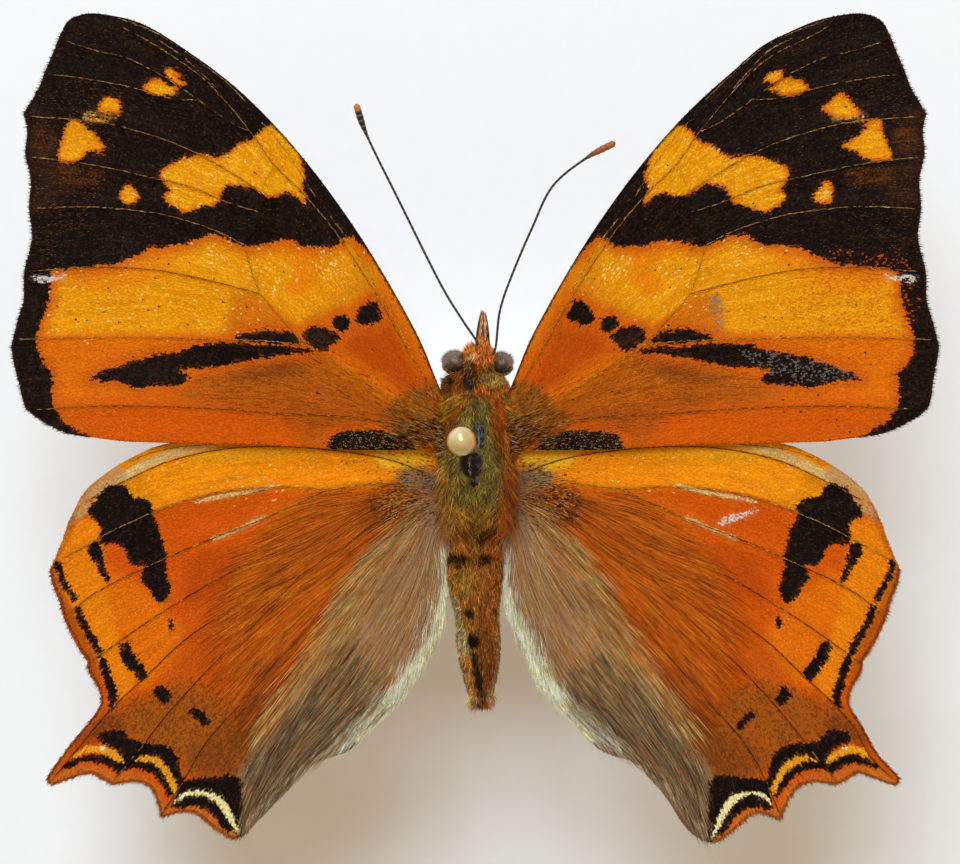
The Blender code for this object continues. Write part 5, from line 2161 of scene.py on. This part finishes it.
@dataclass
class Eye:
    """A faceted eye: its middle and half sizes."""

    side: Side
    middle: tuple[float, float, float]
    half_sizes: tuple[float, float, float]
    columns: int = 40
    rows: int = 26
    lash_count: int = 280
    lash_turns: tuple[float, float] = (0.05, math.pi * 0.9)
    lash_polars: tuple[float, float] = (1.05, 1.6)
    lash_radius: float = 0.007
    brow_count: int = 520
    brow_turns: tuple[float, float] = (1.12 * math.pi, 1.95 * math.pi)
    brow_polars: tuple[float, float] = (0.95, 1.5)
    brow_radius: float = 0.018

    def build(self, finish: bpy.types.Material, hair: bpy.types.Material) -> None:
        """Builds the eye, with pale hair along its front edge and upright scales along its rear edge.

        Args:
            finish: The finish of the facets.
            hair: The finish of the hair.
        """
        polar = np.linspace(math.pi, 0, self.rows)[1:-1]
        ball = [(math.sin(p), math.cos(p)) for p in polar]
        unit, faces = turned_mesh((0.0, 0.0), ball, self.columns)
        unit[-2:, 2] = (-1.0, 1.0)
        points = unit * np.array(self.half_sizes) + np.array(self.middle)
        name = "eye_" + self.side.word
        paint = Paint(len(points), Tone.PLUM)
        # Painted shade: the eye's rear side, turned away from the lights at the front, is painted darker.
        paint.lay(ramp(-unit[:, 1] + 0.2 * smooth_noise(unit[:, :2], 0.25, 5), 0.0, 0.5) * 0.85, Tone.BLACK)
        fit(add_mesh(name + "_facets", points, faces, tint=paint.colour), finish, "eye", name)
        self.add_lashes(name, hair)
        self.add_brow(name, hair)

    def places(self, turn: Array, polar: Array) -> tuple[Array, Array]:
        """Places on the eye.

        Args:
            turn: Their angles round the upright axis, from +X.
            polar: Their angles from the top.

        Returns:
            The way out of the eye at each, and the places.
        """
        level = np.sin(polar)
        out = np.column_stack([level * np.cos(turn), level * np.sin(turn), np.cos(polar)])
        return out, out * np.array(self.half_sizes) + np.array(self.middle)

    def add_lashes(self, name: str, hair: bpy.types.Material) -> None:
        """Builds short pale hair that stands on the front and outer edge.

        Args:
            name: The eye's node.
            hair: The finish of the hair.
        """
        random = np.random.default_rng(60 + self.side.value)
        count = self.lash_count
        turn = random.uniform(*self.lash_turns, count)
        turn = turn if self.side is Side.RIGHT else math.pi - turn
        out, root = self.places(turn, random.uniform(*self.lash_polars, count))
        reach = out * np.array((1.0, 1.0, 0.25)) * random.uniform(0.10, 0.19, (count, 1))
        path = np.stack([root - reach * 0.2, root + reach], axis=1)
        tint = drawn((Tone.STRAW, Tone.GREY, Tone.TAN), random, count)
        lashes = Strands(path, np.full(count, self.lash_radius))
        piece = lashes.add(name + "_hair", tint, unwrapped(root[:, :2]))
        fit(piece, hair, "head_hair")

    def add_brow(self, name: str, hair: bpy.types.Material) -> None:
        """Builds the rust and cream scales that stand along the rear edge.

        Args:
            name: The eye's node.
            hair: The finish of the scales.
        """
        random = np.random.default_rng(65 + self.side.value)
        count = self.brow_count
        turn = random.uniform(*self.brow_turns, count)
        turn = turn if self.side is Side.LEFT else math.pi - turn
        out, root = self.places(turn, random.uniform(*self.brow_polars, count))
        reach = (out * 0.4 + np.array((0.0, 0.15, 0.8)) + random.normal(0, 0.3, (count, 3))) * 0.16
        path = np.stack([root, root + reach * 0.5, root + reach], axis=1)
        tones = (Tone.RUST, Tone.SOOT, Tone.APRICOT, Tone.CREAM, Tone.BLACK, Tone.GINGER)
        tint = drawn(tones, random, count)
        brow = Strands(path, np.full(count, self.brow_radius))
        piece = brow.add(name + "_brow", tint, unwrapped(root[:, :2]))
        fit(piece, hair, "head_hair")


@dataclass
class Palp:
    """A palp: a short feeler of the mouth, clad in upright scales."""

    side: Side
    root: tuple[float, float, float]
    tip: tuple[float, float, float]
    half_widths: tuple[float, ...] = (0.17, 0.21, 0.20, 0.15, 0.05)
    depth: float = 1.5
    sides: int = 20
    scale_count: int = 900
    scale_length: tuple[float, float] = (0.22, 0.42)
    scale_radius: float = 0.020

    def build(self, skin: bpy.types.Material, hair: bpy.types.Material) -> None:
        """Builds the palp and its scales.

        Args:
            skin: The finish of the skin.
            hair: The finish of hair and scales.
        """
        path = smooth_curve((self.root, self.tip), 0.08)
        share = np.linspace(0, 1, len(path))
        radii = np.interp(share, np.linspace(0, 1, len(self.half_widths)), self.half_widths)
        points, triangles = tube_mesh(path, radii, self.sides, self.depth)
        name = "palp_" + self.side.word
        tint = Paint(len(points), Tone.BROWN).colour
        numbers = {"bald": np.zeros(len(points))}
        clad = add_mesh(name + "_skin", points, triangles, tint=tint, numbers=numbers)
        fit(clad, skin, "palp_scales", name)
        self.add_scales(name, hair)

    def add_scales(self, name: str, hair: bpy.types.Material) -> None:
        """Builds the upright scales, which turn darker at the sides.

        Args:
            name: The palp's node.
            hair: The finish of the scales.
        """
        random = np.random.default_rng(70 + self.side.value)
        count = self.scale_count
        place = random.uniform(0, 1, count) ** 0.8
        turn = random.uniform(0, 2 * math.pi, count)
        middle = np.array(self.root) + (np.array(self.tip) - np.array(self.root)) * place[:, None]
        wide = np.interp(place, np.linspace(0, 1, len(self.half_widths)), self.half_widths)
        out = np.column_stack([np.cos(turn), np.zeros(count), np.sin(turn) * self.depth])
        axis = np.array(self.tip) - np.array(self.root)
        axis = axis / np.linalg.norm(axis)
        length = random.uniform(*self.scale_length, count)[:, None]
        root = middle + out * wide[:, None] * 0.9
        middle = root + axis * length * 0.5 + out * 0.035
        path = np.stack([root, middle, root + axis * length + out * 0.03], axis=1)
        tones = np.array([tone.light for tone in (Tone.RUST, Tone.APRICOT, Tone.SOOT, Tone.CREAM)])
        pick = random.choice(4, count, p=(0.55, 0.25, 0.15, 0.05))
        pick = np.where(np.abs(np.cos(turn)) > 0.7, 2, pick)
        pick = np.where((np.sin(turn) > 0.97) & (random.random(count) < 0.6), 3, pick)
        scales = Strands(path, np.full(count, self.scale_radius), 0.4)
        places = np.column_stack([turn / (2 * math.pi), place])
        piece = scales.add(name + "_scales", tones[pick], places)
        fit(piece, hair, "palp_scales")


@dataclass
class Antenna:
    """A feeler: a thin ringed shaft with a slim club at its tip."""

    side: Side
    points: Points
    radius: float = 0.068
    club_radius: float = 0.19
    club_length: float = 2.1
    ring: float = 0.30
    sides: int = 14

    def build(self, finish: bpy.types.Material) -> None:
        """Builds the feeler with its rings.

        Args:
            finish: The finish of the horn.
        """
        path = smooth_curve(self.points, 0.05)
        run = np.concatenate([[0], np.cumsum(np.linalg.norm(np.diff(path, axis=0), axis=1))])
        left = run[-1] - run
        club = ramp(self.club_length - left, 0.0, self.club_length * 0.62)
        end = np.sqrt(np.clip(left / 0.16, 0.05, 1))
        rings = 1 - 0.10 * np.abs(np.sin(math.pi * run / self.ring)) ** 6
        base = 0.05 * np.exp(-((run / 0.22) ** 2))
        radii = ((self.radius + base + (self.club_radius - self.radius) * club) * end) * rings
        points, triangles = tube_mesh(path, radii, self.sides)
        per_point = np.concatenate([np.repeat(run, self.sides), run[:1], run[-1:]])
        paint = Paint(len(points), Tone.BLACK)
        paint.lay(ramp(np.sin(2 * math.pi * per_point / self.ring), 0.6, 0.95) * 0.25, Tone.DUN)
        paint.lay(ramp(per_point, 1.2, 0.1) * 0.6, Tone.BROWN)
        paint.lay(ramp(per_point, run[-1] - 0.55, run[-1] - 0.2) * 0.9, Tone.GINGER)
        if self.side is Side.RIGHT:
            paint.lay(ramp(per_point, run[-1] - 1.9, run[-1] - 1.0) * 0.85, Tone.UMBER)
        name = "antenna_" + self.side.word
        piece = add_mesh(name + "_rings", points, triangles, tint=paint.colour)
        fit(piece, finish, "feeler", name)


@dataclass
class Tongue:
    """The tongue, coiled under the head."""

    middle: tuple[float, float, float] = (0.36, 4.80, 24.85)
    radii: tuple[float, float] = (0.78, 0.16)
    turns: float = 2.6
    tube_radii: tuple[float, float] = (0.11, 0.05)
    rings: int = 260
    groove: float = 0.07
    sides: int = 14
    depth: float = 1.25

    def build(self, finish: bpy.types.Material) -> None:
        """Builds the coil with the fine rings along it.

        Args:
            finish: The finish of the horn.
        """
        share = np.linspace(0, 1, self.rings)
        turn = 2 * math.pi * (0.25 - self.turns * share)
        radius = self.radii[0] + (self.radii[1] - self.radii[0]) * share
        path = np.array(self.middle) + np.column_stack(
            [0.04 * share, np.cos(turn) * radius, np.sin(turn) * radius])
        tube = self.tube_radii[0] + (self.tube_radii[1] - self.tube_radii[0]) * share
        ringed = tube * (1 - self.groove * (np.arange(self.rings) % 2))
        points, triangles = tube_mesh(path, ringed, self.sides, self.depth)
        tint = Paint(len(points), Tone.SOOT).colour
        fit(add_mesh("proboscis_coil", points, triangles, tint=tint), finish, "tongue", "proboscis")


@dataclass
class Leg:
    """A folded leg: its joints from the hip, with the thickness of each stretch."""

    name: str
    side: Side
    points: Points
    thick: float = 0.17
    thin: float = 0.085
    sides: int = 14
    scale_count: int = 800
    spine_share: float = 0.08

    def build(self, skin: bpy.types.Material, hair: bpy.types.Material) -> None:
        """Builds the leg's stretches as one tube, with scales and spines on it.

        Args:
            skin: The finish of the skin.
            hair: The finish of scales and spines.
        """
        given = np.array(self.points) * np.array((self.side.value, 1, 1))
        path = smooth_curve(given, 0.06)
        share = np.linspace(0, 1, len(path))
        radii = np.interp(share, (0, 0.12, 0.45, 0.5, 0.75, 0.8, 1),
                          (0.20, self.thick, 0.12, 0.10, 0.10, self.thin, 0.05))
        foot = share > 0.78
        radii = radii * np.where(foot, 1 - 0.2 * np.abs(np.sin(share * 60)) ** 4, 1)
        points, triangles = tube_mesh(path, radii, self.sides)
        node = f"{self.name}_{self.side.word}"
        tint = Paint(len(points), Tone.DUN).colour
        numbers = {"bald": np.zeros(len(points))}
        clad = add_mesh(node + "_skin", points, triangles, tint=tint, numbers=numbers)
        fit(clad, skin, "leg_scales", node)
        self.add_scales(node, path, radii, hair)

    def add_scales(self, node: str, path: Array, radii: Array, hair: bpy.types.Material) -> None:
        """Builds the leg's scales and spines.

        Args:
            node: The leg's node.
            path: Points along its middle.
            radii: Its radius at each.
            hair: The finish of scales and spines.
        """
        random = np.random.default_rng(len(node) + 80 + self.side.value)
        count = self.scale_count
        at = random.uniform(0, 0.985, count)
        index = (at * (len(path) - 1)).astype(int)
        along = unit(np.gradient(path, axis=0))[index]
        out = random.normal(0, 1, (count, 3))
        out = unit(out - (out * along).sum(1, keepdims=True) * along)
        is_spine = random.random(count) < self.spine_share
        length = np.where(is_spine, 0.30, 0.20)[:, None] * random.uniform(0.7, 1.2, (count, 1))
        stand = np.where(is_spine, 0.16, 0.035)[:, None]
        root = path[index] + out * radii[index][:, None] * 0.9
        tip = root + along * length + out * stand
        tint = np.where(is_spine[:, None], np.array(Tone.SOOT.light), np.array(Tone.TAN.light))
        tint = tint * random.uniform(0.7, 1.2, (count, 1))
        radius = np.where(is_spine, 0.014, 0.022)
        spread = np.column_stack([random.random(count), at])
        piece = Strands(np.stack([root, tip], axis=1), radius, 0.5).add(node + "_scales", tint, spread)
        fit(piece, hair, "leg_scales")


@dataclass
class Pin:
    """The insect pin: a thin steel shaft with a pearly round head."""

    x: float = -0.70
    radius: float = 0.21
    tip_z: float = 2.0
    tip_length: float = 2.2
    top_z: float = 40.0
    head_radius: float = 0.76
    shaft_sides: int = 32
    head_sides: int = 56
    head_rings: int = 40

    def build(self, steel: bpy.types.Material, pearl: bpy.types.Material) -> None:
        """Builds the shaft and the head.

        Args:
            steel: The finish of the shaft.
            pearl: The finish of the head.
        """
        head_z = self.top_z - self.head_radius
        shaft = ((0.02, self.tip_z), (0.07, self.tip_z + 0.5), (0.14, self.tip_z + 1.3),
                 (self.radius, self.tip_z + self.tip_length), (self.radius, 15.0), (self.radius, 25.0),
                 (self.radius, 33.0), (self.radius, head_z - 0.9), (self.radius + 0.05, head_z - 0.7),
                 (self.radius + 0.05, head_z))
        points, triangles = turned_mesh((self.x, 0.0), shaft, self.shaft_sides)
        fit(add_mesh("pin_shaft", points, triangles), steel, "pin_metal", "pin")
        polar = np.linspace(math.pi * 0.985, math.pi * 0.015, self.head_rings)
        ball = [(self.head_radius * math.sin(p), head_z + self.head_radius * math.cos(p)) for p in polar]
        points, triangles = turned_mesh((self.x, 0.0), ball, self.head_sides)
        paint = Paint(len(points), Tone.STRAW)
        out = (points - np.array((self.x, 0.0, head_z))) / self.head_radius
        # Painted light on the head: a cream highlight on its upper front left, olive shade on its rear and
        # lower side, away from the lights, and an orange reflection of the wings on its right.
        paint.lay(ramp(out @ np.array((-0.45, 0.55, 0.70)), 0.80, 0.98) * 0.8, Tone.CREAM)
        paint.lay(ramp(out @ np.array((0.1, 0.75, 0.65)), 0.55, 0.0) * 0.6, Tone.OLIVE)
        paint.lay(ramp(out @ np.array((0.80, -0.05, 0.60)), 0.86, 0.99) * 0.8, Tone.HONEY)
        fit(add_mesh("pin_head", points, triangles, tint=paint.colour), pearl, "pin_metal", "pin")


@dataclass
class Foam:
    """The strip of white foam that the pin stands in."""

    width: float = 26.0
    front: float = 3.0
    back: float = -5.0
    height: float = 10.0
    edge: float = 0.35
    hole: tuple[float, float, float] = (-0.70, 0.0, 0.26)
    bottom: float = 1.7
    hole_sides: int = 32
    corner_steps: int = 6

    def build(self, finish: bpy.types.Material) -> None:
        """Builds the strip with rounded upper edges, a slightly drawn-in bottom edge and the pin's hole.

        Args:
            finish: The finish of the foam.
        """
        half, middle = self.width / 2, (self.front + self.back) / 2
        deep = (self.front - self.back) / 2
        rows = [self.rounded(half - inset, deep - inset, max(0.5 - inset, 0.15), middle, z)
                for inset, z in self.profile()]
        ends = np.array([(0.0, middle, 0.0), (0.0, middle, self.height)])
        block = add_mesh("foam_strip", *ring_mesh(np.array(rows), ends), smooth=False)
        x, y, radius = self.hole
        drill = ((radius, self.bottom), (radius, self.height - 0.35), (radius + 0.08, self.height + 0.3))
        points, triangles = turned_mesh((x, y), drill, self.hole_sides)
        cutter = add_mesh("foam_hole", points, triangles)
        hole = block.modifiers.new("hole", "BOOLEAN")
        hole.operation = "DIFFERENCE"
        hole.solver = "EXACT"
        hole.object = cutter
        depsgraph = bpy.context.evaluated_depsgraph_get()
        block.data = bpy.data.meshes.new_from_object(block.evaluated_get(depsgraph))
        block.modifiers.clear()
        bpy.data.objects.remove(cutter)
        fit(block, finish, "foam", "stand_base")

    def profile(self) -> list[tuple[float, float]]:
        """How far the strip draws in, and the height, from the bottom up.

        Returns:
            Pairs of inset and height.
        """
        rows = [(0.08, 0.0), (0.0, 0.08), (0.0, 2.5), (0.0, 5.0), (0.0, 7.5)]
        for k in range(self.corner_steps):
            angle = math.pi / 2 * k / (self.corner_steps - 1)
            inset = self.edge * (1 - math.cos(angle))
            rows.append((inset, self.height - self.edge * (1 - math.sin(angle))))
        return rows

    def rounded(self, half_x: float, half_y: float, corner: float, middle_y: float, z: float) -> Array:
        """A rectangle with rounded corners at a height, counter-clockwise.

        Args:
            half_x: Half of its width.
            half_y: Half of its depth.
            corner: The corners' radius.
            middle_y: The place of its middle along Y.
            z: The height.

        Returns:
            Its points, in turn.
        """
        points = []
        for k, (sx, sy) in enumerate(((1, 1), (-1, 1), (-1, -1), (1, -1))):
            for step in range(self.corner_steps):
                angle = math.pi / 2 * (k + step / (self.corner_steps - 1))
                points.append((sx * (half_x - corner) + corner * math.cos(angle),
                               middle_y + sy * (half_y - corner) + corner * math.sin(angle), z))
        return np.array(points)


# Finishes.


@dataclass(frozen=True)
class ScaleFinish:
    """Wing scales: painted scale by scale, satin, with a fine grain."""

    roughness: float = 0.50
    specular: float = 0.035
    mottle_scale: float = 9000.0
    grain_scale: float = 26000.0
    grain_depth: float = 0.006

    def build(self) -> bpy.types.Material:
        """Makes the material.

        Returns:
            The material.
        """
        nodes = Nodes("wing scales", Specular_IOR_Level=self.specular)
        mottle = nodes.noise(self.mottle_scale)
        nodes.feed("Base Color", nodes.bright(nodes.painted(), 0.84 + mottle * 0.32))
        nodes.feed("Roughness", self.roughness + (mottle - 0.5) * 0.35)
        nodes.bump(nodes.noise(self.grain_scale, 1.0), self.grain_depth)
        return nodes.material


@dataclass(frozen=True)
class HairFinish:
    """Silky hair with darker and lighter stretches."""

    roughness: float = 0.48
    specular: float = 0.14
    mottle_scale: float = 5000.0

    def build(self) -> bpy.types.Material:
        """Makes the material.

        Returns:
            The material.
        """
        nodes = Nodes("silky hair", Specular_IOR_Level=self.specular)
        mottle = nodes.noise(self.mottle_scale)
        nodes.feed("Base Color", nodes.bright(nodes.painted(), 0.75 + mottle * 0.5))
        nodes.feed("Roughness", self.roughness + (mottle - 0.5) * 0.2)
        return nodes.material


@dataclass(frozen=True)
class SkinFinish:
    """The skin under the hair: dull where it is clad, black and glossy where it is bare."""

    dull: float = 0.7
    glossy: float = 0.10
    pit_scale: float = 14000.0
    pit_depth: float = 0.012
    mottle_scale: float = 6000.0

    def build(self) -> bpy.types.Material:
        """Makes the material.

        Returns:
            The material.
        """
        nodes = Nodes("insect skin", Specular_IOR_Level=0.2)
        bald = nodes.number("bald")
        pits = nodes.cells(self.pit_scale)
        mottle = nodes.noise(self.mottle_scale)
        nodes.feed("Base Color", nodes.bright(nodes.painted(), 0.7 + mottle * 0.6))
        nodes.feed("Roughness", self.dull - bald * (self.dull - self.glossy) + pits * 0.05)
        nodes.bump(pits, self.pit_depth)
        return nodes.material


@dataclass(frozen=True)
class EyeFinish:
    """A glossy plum-brown eye of fine facets, with darker clouds."""

    roughness: float = 0.10
    specular: float = 0.8
    cloud_scale: float = 1900.0
    facet_scale: float = 26000.0
    facet_depth: float = 0.012

    def build(self) -> bpy.types.Material:
        """Makes the material.

        Returns:
            The material.
        """
        nodes = Nodes("faceted eye", Specular_IOR_Level=self.specular)
        cloud = nodes.noise(self.cloud_scale, 3.0).above(0.52, 0.08)
        facets = nodes.cells(self.facet_scale)
        colour = nodes.mix(cloud * 0.75, nodes.painted(), Tone.BLACK)
        nodes.feed("Base Color", nodes.bright(colour, 1.15 - facets * 0.5))
        nodes.feed("Roughness", self.roughness + facets * 0.15)
        nodes.bump(1.0 - facets, self.facet_depth)
        return nodes.material


@dataclass(frozen=True)
class FeelerFinish:
    """Dark horn with fine scales."""

    roughness: float = 0.32
    specular: float = 0.5
    grain_scale: float = 18000.0
    grain_depth: float = 0.008

    def build(self) -> bpy.types.Material:
        """Makes the material.

        Returns:
            The material.
        """
        nodes = Nodes("dark horn", Specular_IOR_Level=self.specular)
        grain = nodes.noise(self.grain_scale)
        nodes.feed("Base Color", nodes.bright(nodes.painted(), 0.7 + grain * 0.7))
        nodes.feed("Roughness", self.roughness + grain * 0.25)
        nodes.bump(grain, self.grain_depth)
        return nodes.material


@dataclass(frozen=True)
class PearlFinish:
    """The pin's pearly head: pale gold lacquer with warmer clouds, over the painted highlight, shade and
    orange reflection in the head's colours.
    """

    roughness: float = 0.26
    metallic: float = 0.25
    coat: float = 0.8
    cloud_scale: float = 900.0
    fleck_scale: float = 12000.0
    smear_scale: float = 4000.0

    def build(self) -> bpy.types.Material:
        """Makes the material.

        Returns:
            The material.
        """
        nodes = Nodes("pearly lacquer", Metallic=self.metallic, Coat_Weight=self.coat, Coat_Roughness=0.08)
        cloud = nodes.noise(self.cloud_scale, 1.0).above(0.52, 0.2)
        colour = nodes.mix(cloud * 0.3, nodes.painted(), Tone.TAN)
        nodes.feed("Base Color", nodes.bright(colour, 0.92 + nodes.noise(self.fleck_scale) * 0.16))
        nodes.feed("Roughness", self.roughness + nodes.noise(self.smear_scale) * 0.12)
        return nodes.material


@dataclass(frozen=True)
class SteelFinish:
    """Drawn steel wire with faint lengthwise scratches."""

    roughness: float = 0.18
    scratch_scale: tuple[float, float, float] = (9000.0, 9000.0, 180.0)
    scratch_depth: float = 0.004

    def build(self) -> bpy.types.Material:
        """Makes the material.

        Returns:
            The material.
        """
        nodes = Nodes("pin steel", Metallic=1.0)
        spot = nodes.add("TexCoord", output="Object")
        stretched = nodes.add("Mapping", None, {"Vector": spot, "Scale": self.scratch_scale})
        scratch = nodes.add("TexNoise", None, {"Vector": stretched, "Scale": 1.0, "Detail": 3.0}, "Fac")
        nodes.feed("Base Color", nodes.mix(scratch, Tone.GREY, Tone.BARE))
        nodes.feed("Roughness", self.roughness + scratch * 0.22)
        nodes.bump(scratch, self.scratch_depth)
        return nodes.material


@dataclass(frozen=True)
class FoamFinish:
    """White closed-cell foam: small cells of two sizes and a little dust."""

    roughness: float = 0.78
    cell_scale: float = 1400.0
    fine_scale: float = 4200.0
    dust_scale: float = 260.0
    cell_depth: float = 0.10

    def build(self) -> bpy.types.Material:
        """Makes the material.

        Returns:
            The material.
        """
        nodes = Nodes("white foam", Specular_IOR_Level=0.2, Subsurface_Weight=0.08)
        cells = nodes.cells(self.cell_scale)
        fine = nodes.cells(self.fine_scale)
        dust = (nodes.noise(self.dust_scale) - 0.4).clamped() * 0.25
        tint = nodes.mix(dust, Tone.FOAM, Tone.CREAM)
        nodes.feed("Base Color", nodes.bright(tint, 0.90 + cells * 0.10 + fine * 0.06))
        nodes.feed("Roughness", self.roughness + fine * 0.15)
        nodes.bump(cells * 0.7 + fine * 0.3, self.cell_depth)
        return nodes.material


@dataclass(frozen=True)
class CardFinish:
    """White card."""

    roughness: float = 0.95
    mottle_scale: float = 900.0

    def build(self) -> bpy.types.Material:
        """Makes the material.

        Returns:
            The material.
        """
        nodes = Nodes("white card", Roughness=self.roughness, Specular_IOR_Level=0.1)
        mottle = nodes.noise(self.mottle_scale, 3.0)
        nodes.feed("Base Color", nodes.bright(Tone.CARD, 0.985 + mottle * 0.03))
        return nodes.material


# Camera, floor and light.


@dataclass
class Studio:
    """A camera straight above, a pale floor and soft light from above the head's side."""

    distance: float = 240.0
    wing_z: float = 28.5
    centre: tuple[float, float] = (0.27, 0.49)
    width_px: float = 960.0
    sensor: float = 36.0
    floor_size: float = 3000.0
    key_place: tuple[float, float, float] = (-60.0, 330.0, 900.0)
    key_size: float = 300.0
    key_power: float = 5.0
    front_place: tuple[float, float, float] = (-120.0, 700.0, 600.0)
    front_size: float = 170.0
    front_power: float = 2.6
    fill_strength: float = 0.55
    aim_z: float = 28.0
    warm: tuple[float, float, float] = (1.0, 0.82, 0.60)
    cool: tuple[float, float, float] = (0.67, 0.82, 1.0)

    def build(self) -> None:
        """Adds camera, floor, lights and the even light all round."""
        self.add_camera()
        self.add_floor()
        self.add_light("key", self.key_place, self.key_size, self.key_power)
        self.add_light("front", self.front_place, self.front_size, self.front_power)
        world = bpy.data.worlds.new("studio")
        world.use_nodes = True
        background = world.node_tree.nodes["Background"]
        background.inputs["Color"].default_value = (*self.warm, 1.0)
        background.inputs["Strength"].default_value = self.fill_strength
        bpy.context.scene.world = world
        bpy.context.scene.view_settings.view_transform = "Standard"

    def add_camera(self) -> None:
        """Adds the camera, which looks straight down at the photo's scale."""
        data = bpy.data.cameras.new("camera")
        data.sensor_width = self.sensor
        data.lens = self.sensor * self.distance / (self.width_px * MM_PER_PX)
        data.clip_start = 0.01
        data.clip_end = 10.0
        camera = bpy.data.objects.new("camera", data)
        camera.location = Vector((*self.centre, self.wing_z + self.distance)) * MM
        bpy.context.scene.collection.objects.link(camera)
        bpy.context.scene.camera = camera

    def add_floor(self) -> None:
        """Adds the floor."""
        half = self.floor_size / 2
        corners = np.array(((-half, -half, 0.0), (half, -half, 0.0), (half, half, 0.0), (-half, half, 0.0)))
        floor = add_mesh("floor", corners, np.array(((0, 1, 2), (0, 2, 3))))
        floor.data.materials.append(CardFinish().build())

    def add_light(self, name: str, place_mm: tuple[float, float, float], size_mm: float,
                  power: float) -> None:
        """Adds a square soft light that faces the wings.

        Args:
            name: The light's name.
            place_mm: Where it is.
            size_mm: The length of its side.
            power: Its power in watts.
        """
        data = bpy.data.lights.new(name, "AREA")
        data.size = size_mm * MM
        data.energy = power
        data.color = self.cool
        light = bpy.data.objects.new(name, data)
        light.location = Vector(place_mm) * MM
        aim = Vector((0.0, 0.0, self.aim_z)) * MM - light.location
        light.rotation_euler = aim.to_track_quat("-Z", "Y").to_euler()
        bpy.context.scene.collection.objects.link(light)


EYES = (
    Eye(Side.LEFT, (-1.10, 4.30, 27.00), (0.73, 0.66, 0.93)),
    Eye(Side.RIGHT, (1.46, 4.22, 26.93), (0.64, 0.66, 0.93)),
)
PALPS = (
    Palp(Side.LEFT, (0.16, 4.60, 26.35), (0.38, 6.85, 27.25)),
    Palp(Side.RIGHT, (0.62, 4.60, 26.35), (0.52, 6.75, 27.15)),
)
ANTENNAE = (
    Antenna(Side.LEFT, (
        (0.00, 4.70, 27.35), (0.14, 5.30, 27.78), (-0.70, 6.60, 28.05), (-1.90, 8.58, 28.30),
        (-4.07, 12.92, 28.80), (-5.81, 16.45, 29.20), (-6.45, 18.25, 29.45))),
    Antenna(Side.RIGHT, (
        (0.85, 4.60, 27.35), (1.12, 5.10, 27.70), (1.36, 7.11, 28.05), (2.00, 9.00, 28.30),
        (3.10, 11.57, 28.65), (4.20, 13.80, 28.95), (5.97, 15.28, 29.25), (7.60, 16.15, 29.45))),
)
LEG_POINTS = {
    "foreleg": ((0.60, 2.10, 25.60), (0.80, 2.75, 24.75), (1.00, 3.60, 24.45), (0.95, 4.50, 24.75)),
    "midleg": ((0.80, 0.90, 25.30), (1.10, 0.85, 24.20), (2.30, 0.35, 23.25), (1.60, -1.20, 22.80),
               (1.00, -2.60, 22.60), (0.85, -5.40, 22.60)),
    "hindleg": ((0.90, -1.90, 25.30), (1.20, -2.10, 24.30), (2.30, -2.90, 23.60), (2.00, -4.80, 23.70),
                (1.45, -6.60, 23.80), (0.75, -9.40, 24.10)),
}


def main() -> None:
    """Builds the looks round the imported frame."""
    logging.basicConfig(level=logging.INFO, format="%(message)s")
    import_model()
    Studio().build()
    scales, hair, skin = ScaleFinish().build(), HairFinish().build(), SkinFinish().build()
    horn = FeelerFinish().build()
    for side in Side:
        for form in (FOREWING, HINDWING):
            Wing(form, side).build(scales, hair)
    Body().build(skin, hair)
    eye_finish = EyeFinish().build()
    for eye in EYES:
        eye.build(eye_finish, hair)
    for palp in PALPS:
        palp.build(skin, hair)
    for antenna in ANTENNAE:
        antenna.build(horn)
    Tongue().build(horn)
    for side in Side:
        for name, points in LEG_POINTS.items():
            Leg(name, side, points).build(skin, hair)
    Pin().build(SteelFinish().build(), PearlFinish().build())
    Foam().build(FoamFinish().build())


if __name__ == "__main__":
    main()
